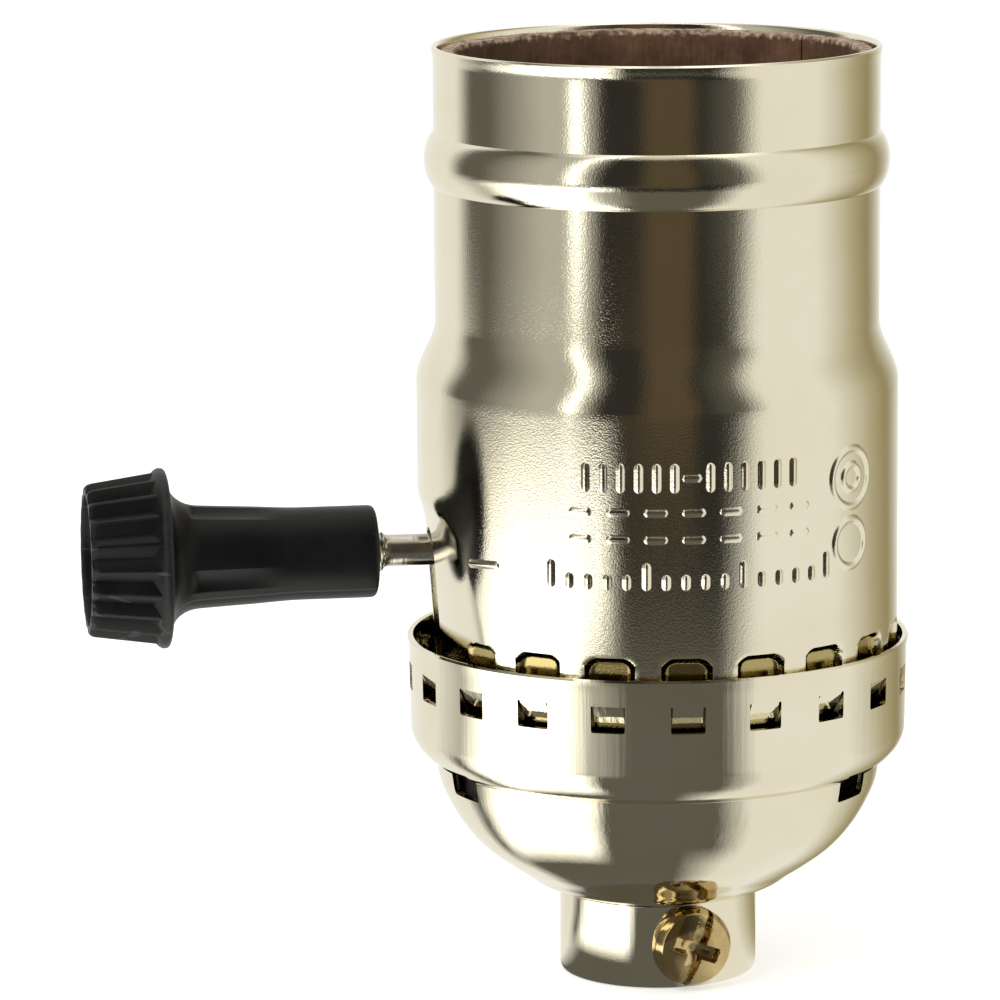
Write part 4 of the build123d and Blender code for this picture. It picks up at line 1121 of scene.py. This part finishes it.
neck_d, neck_a, neck_r = turned_grid(lower_line, knob_angles)
scoop_angle = wrap((neck_a - scoop_turn) * scoop_count) / scoop_count
scoop_run = soft_step(neck_d, 5.9, 8.2) * (1 - soft_step(neck_d, 12.3, 12.9))
scoop_cut = scoop_depth * scoop_run * (0.35 + 0.65 * soft_step(neck_d, 6.0, 12.0))
scoop_shape = np.clip(1 - (scoop_angle / scoop_half_turn) ** 2, 0, 1)
neck_r = neck_r - scoop_cut * scoop_shape
zigzag = bevel_start + (bevel_radius - crest_start + flute_groove(knob_angles)) / (1 - crest_fall)
corner_start = knob_length - end_corner
bevel_rows = bevel_start + np.linspace(0.15, 1, 8)[:, None] * (zigzag - bevel_start)
crown_rows = zigzag + np.linspace(0, 1, 30)[1:, None] * (corner_start - zigzag)
crown_d = np.concatenate([bevel_rows, crown_rows])
crown_a = np.broadcast_to(knob_angles, crown_d.shape)
crown_r = crown_radius(crown_d, crown_a)
end_share = np.linspace(0, 1, 9)[1:, None]
corner_angle = end_share * math.pi / 2
end_a = np.broadcast_to(knob_angles, (len(end_share), knob_columns))
end_d = np.broadcast_to(corner_start + end_corner * np.sin(corner_angle), end_a.shape)
groove_left = flute_groove(knob_angles) * (1 - 0.55 * end_share**2)
end_r = crest_start - crest_fall * (end_d - bevel_start) - groove_left - 0.36 * (1 - np.cos(corner_angle))
cup_line = [(0.0, 4.50), (-0.06, 4.44), (-0.5, 4.40), (-0.85, 4.34), (-1.05, 4.18), (-1.14, 3.95)]
cup_line += [(-1.15, 3.4), (-1.15, 1.95), (-1.05, 1.80), (-0.96, 1.70), (-0.95, 0.9), (-0.95, 0.02)]
face_line = [(0.9, 1.42), (0.0, 1.42), (0.0, 2.10)]
knob_grids = [
    turned_grid(face_line, knob_angles),
    (neck_d, neck_a, neck_r),
    (crown_d, crown_a, crown_r),
    (end_d, end_a, end_r),
    turned_grid([(knob_length + d, r) for d, r in cup_line], knob_angles),
]
knob_d, knob_a, knob_r = (np.concatenate(grids) for grids in zip(*knob_grids))
knob_across, knob_up = -knob_r * np.cos(knob_a), shaft_z + knob_r * np.sin(knob_a)
knob_points = np.stack([knob_start - knob_d, knob_across, knob_up], axis=-1)
knob_faces = skin_faces(np.ones((len(knob_points) - 1, knob_columns), bool), 0, knob_columns, False)
print("knob from", round(knob_start, 2), "length", round(knob_length, 2), "faces", len(knob_faces))

# %% Knob's finish
def moulded_black(name, low, high, roughness, wear):
    """Satin moulded plastic with faint flow marks, dust in the pores and paler worn edges."""
    material, tree, spot = start_finish(name)
    cloud = noise_node(tree, spot, 260.0, 5.0, 0.6)
    pores = noise_node(tree, spot, 5200.0, 2.0)
    scuffs = noise_node(tree, spot, 900.0, 6.0, 0.8)
    tone = ramp_node(tree, cloud, [(0.35, low), (0.70, high)])
    dust = ramp_node(tree, scuffs, [(0.68, (0, 0, 0)), (0.82, (0.028, 0.029, 0.031))])
    dusty = mix_colour(tree, 1.0, tone, dust, "ADD")
    edge = new_node(tree, "ShaderNodeNewGeometry").outputs["Pointiness"]
    edge_share = ramp_node(tree, edge, [(0.515, (0, 0, 0)), (0.56, (wear, wear, wear))])
    colour = mix_colour(tree, edge_share, dusty, (0.085, 0.088, 0.092, 1))
    rough = clouded(tree, cloud, 0.14, roughness)
    bump = bump_node(tree, pores, 0.25, 0.00003)
    end_finish(tree, Base_Color=colour, Roughness=rough, Specular_IOR_Level=0.16, Normal=bump)
    return material


knob_black = moulded_black("moulded_knob", (0.0042, 0.0044, 0.0046), (0.0085, 0.0088, 0.0092), 0.33, 0.45)
moulded_knob = mesh_object("moulded_knob", knob_points.reshape(-1, 3), knob_faces, knob_black, 32)
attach(moulded_knob, "switch_knob")
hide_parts("knob")

# %% [markdown]
# The shaft is bright turned steel. Only its neck and the first thread show between the knob and the
# shell, so those are drawn finely and the rest stays simple. The same rule as for the hub's bore
# makes its thread.

# %% Shaft
shaft_flat = 1.2
shaft_columns = 48
shaft_angles = np.arange(shaft_columns) * 2 * math.pi / shaft_columns
thread_pitch = 0.79
thread_core = 1.12
thread_start = 18.80
shaft_line = [(-8.0, 0.05), (-8.0, 1.4), (-7.8, shaft_radius), (-6.0, shaft_radius), (-5.95, 1.25)]
shaft_line += [(-5.4, 1.25), (-5.35, shaft_radius)]
shaft_line += [(d, shaft_radius) for d in (-5.31, -5.29, 0, 5.29, 5.31, 10.0, 13.75)]
shaft_line += [(13.85, 1.5), (13.9, thread_core), (14.0, 1.075), (16.5, 1.075), (18.3, 1.075), (18.75, 1.10)]
shaft_line += [(thread_start + 0.05 * k, thread_core) for k in range(170)]
shaft_line += [(27.25, 1.0), (27.25, 0.05)]
shaft_d, shaft_a, shaft_r = turned_grid(shaft_line, shaft_angles)
phase = (shaft_d / thread_pitch - shaft_a / (2 * math.pi)) % 1.0
tooth = 0.04 + 0.24 * np.clip(1.35 - 2.7 * np.abs(phase - 0.5), 0, 1)
fade = soft_step(shaft_d, thread_start, 19.05) * (1 - soft_step(shaft_d, 26.8, 27.25))
shaft_r = shaft_r + tooth * fade
shaft_up = shaft_r * np.sin(shaft_a)
shaft_up = np.where(np.abs(shaft_d) < 5.3, np.minimum(shaft_up, shaft_flat), shaft_up)
shaft_points = np.stack([-shaft_d, -shaft_r * np.cos(shaft_a), shaft_z + shaft_up], axis=-1)
shaft_faces = skin_faces(np.ones((len(shaft_line) - 1, shaft_columns), bool), 0, shaft_columns, False)


def bright_metal(name, low, high, roughness, lines, axis_scale):
    """Turned or rolled metal: tool lines along one axis, and slow changes of tone."""
    material, tree, spot = start_finish(name)
    tool = noise_node(tree, stretched_spot(tree, spot, axis_scale), 4200.0, 3.0)
    cloud = noise_node(tree, spot, 420.0, 5.0, 0.6)
    tone = ramp_node(tree, cloud, [(0.30, low), (0.70, high)])
    rough = clouded(tree, cloud, 0.16, roughness)
    bump = bump_node(tree, tool, lines, 0.00004)
    end_finish(tree, Base_Color=tone, Metallic=1.0, Roughness=rough, Normal=bump)
    return material


round_shaft = (1.0, 0.05, 0.05)
turned_steel = bright_metal("turned_steel", (0.50, 0.47, 0.42), (0.66, 0.63, 0.58), 0.14, 0.3, round_shaft)
shaft_turned = mesh_object("shaft_turned", shaft_points.reshape(-1, 3), shaft_faces, turned_steel, 32)
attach(shaft_turned, "switch_knob")
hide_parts("switch_shaft")
print("shaft faces:", len(shaft_faces))

# %% [markdown]
# The set screw has a low domed brass head with a slot and a cross, so either driver fits. Its head is
# a fine round grid whose height is a dome with the two recesses taken out of it.

# %% Set screw
head_radius = 2.72
head_height = 1.7
head_aside = 0.10
head_lift = 0.16
slot_tilt = math.radians(69)
head_seat = hub_radius + 0.05
thread_radius = 2.05
screw_thread = 0.16
facing = np.array([math.cos(set_screw_angle), math.sin(set_screw_angle), 0])
beside = np.array([-math.sin(set_screw_angle), math.cos(set_screw_angle), 0])
upward = np.array([0, 0, 1.0])


def head_surface(across, up):
    """Height of the screw head over its seat."""
    out = np.hypot(across, up)
    share = np.clip(out / head_radius, 0, 1)
    dome = head_height * (0.60 + 0.40 * np.sqrt(np.maximum(1 - share**2.6, 0)))
    dome = dome - 0.35 * soft_step(share, 0.86, 1.0)
    along = across * math.cos(slot_tilt) + up * math.sin(slot_tilt)
    over = -across * math.sin(slot_tilt) + up * math.cos(slot_tilt)
    along, over = np.abs(along), np.abs(over)
    slot_cut = 0.62 * (1 - soft_step(over, 0.34, 0.46))
    cross_long = (1 - soft_step(along, 1.45, 1.66)) * (1 - soft_step(over, 0.36, 0.52))
    cross_wide = (1 - soft_step(over, 1.45, 1.66)) * (1 - soft_step(along, 0.36, 0.52))
    cross_cut = np.maximum(cross_long, cross_wide) * (0.55 + 0.55 * (1 - soft_step(out, 0.2, 1.7)))
    return dome - np.maximum(slot_cut, cross_cut)


head_rings = 64
head_spokes = 192
ring_share = np.concatenate([[0.002], np.linspace(0.02, 1.0, head_rings)])
spoke = np.arange(head_spokes) * 2 * math.pi / head_spokes
ring_grid, spoke_grid = np.meshgrid(ring_share * head_radius, spoke, indexing="ij")
grid_across = ring_grid * np.cos(spoke_grid)
grid_up = ring_grid * np.sin(spoke_grid)
rise = head_surface(grid_across, grid_up)
rise[-1] = np.minimum(rise[-1], 0.75)
screw_rows = [(grid_across, grid_up, rise)]


def add_screw_row(radius, level):
    """One more ring of the screw, below its head."""
    row = (radius * np.cos(spoke), radius * np.sin(spoke), np.full(head_spokes, level))
    screw_rows.append([values[None] for values in row])


for radius, level in ((head_radius, 0.12), (head_radius - 0.12, 0.0), (thread_radius, 0.0)):
    add_screw_row(radius, level)
for step in range(1, 40):
    level = -step * 0.045
    ridge = screw_thread * np.abs((((level / 0.6) - spoke / (2 * math.pi)) % 1.0) * 2 - 1)
    add_screw_row(thread_radius - ridge * soft_step(-level, 0.0, 0.3), level)
add_screw_row(0.01, -1.76)
screw_across, screw_up, screw_out = (np.concatenate(grids)[..., None] for grids in zip(*screw_rows))
screw_points = facing * (head_seat + screw_out) + beside * (screw_across + head_aside)
screw_points = screw_points + upward * (screw_up + set_screw_z + head_lift)
screw_faces = skin_faces(np.ones((len(screw_points) - 1, head_spokes), bool), 0, head_spokes, True)
screw_gold = bright_metal("screw_brass", (0.46, 0.34, 0.15), (0.66, 0.51, 0.26), 0.03, 0.12, (1.0, 1.0, 1.0))
screw_brass = mesh_object("screw_brass", screw_points.reshape(-1, 3), screw_faces, screw_gold, 28)
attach(screw_brass, "hub_screw")
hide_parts("set_screw")
print("screw faces:", len(screw_faces))

# %% [markdown]
# Everything inside keeps the frame's own solids, which are right as they are. Each gets a finish of
# its own: zinc on the long screws, black moulding for the blocks, spring bronze for the contacts.

# %% Finishes of the inner parts
phenolic = moulded_black("phenolic", (0.018, 0.015, 0.013), (0.034, 0.028, 0.024), 0.32, 0.4)
rotor_grey = moulded_black("rotor_plastic", (0.30, 0.28, 0.25), (0.42, 0.40, 0.36), 0.40, 0.1)
even, upright, across_strip = (1.0, 1.0, 1.0), (0.05, 0.05, 1.0), (1.0, 0.1, 1.0)
aluminium = bright_metal("screw_shell_metal", (0.72, 0.71, 0.69), (0.84, 0.83, 0.81), 0.20, 0.4, upright)
zinc = bright_metal("zinc_steel", (0.55, 0.56, 0.56), (0.72, 0.73, 0.72), 0.30, 0.4, even)
bronze = bright_metal("spring_bronze", (0.50, 0.30, 0.14), (0.70, 0.46, 0.24), 0.24, 0.4, across_strip)
brass = bright_metal("strip_brass", (0.62, 0.45, 0.20), (0.78, 0.60, 0.30), 0.22, 0.4, across_strip)
nickel = bright_metal("nickel_steel", (0.56, 0.54, 0.50), (0.74, 0.72, 0.68), 0.18, 0.3, even)
finish_of = {
    "socket_body": phenolic,
    "switch_base": phenolic,
    "cam_rotor": rotor_grey,
    "screw_shell": aluminium,
    "shell_rivets": aluminium,
    "assembly_screws": zinc,
    "retaining_ring": zinc,
    "neutral_strap": brass,
    "hot_terminal_plate": brass,
    "knob_insert": brass,
    "centre_contact": bronze,
    "load_contact": bronze,
    "moving_contact": bronze,
    "detent_spring": bronze,
    "centre_rivet": brass,
    "hot_terminal_screw": brass,
    "neutral_terminal_screw": nickel,
}
for node_name, finish in finish_of.items():
    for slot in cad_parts[node_name].material_slots:
        slot.material = finish
print("finished", len(finish_of), "inner parts")
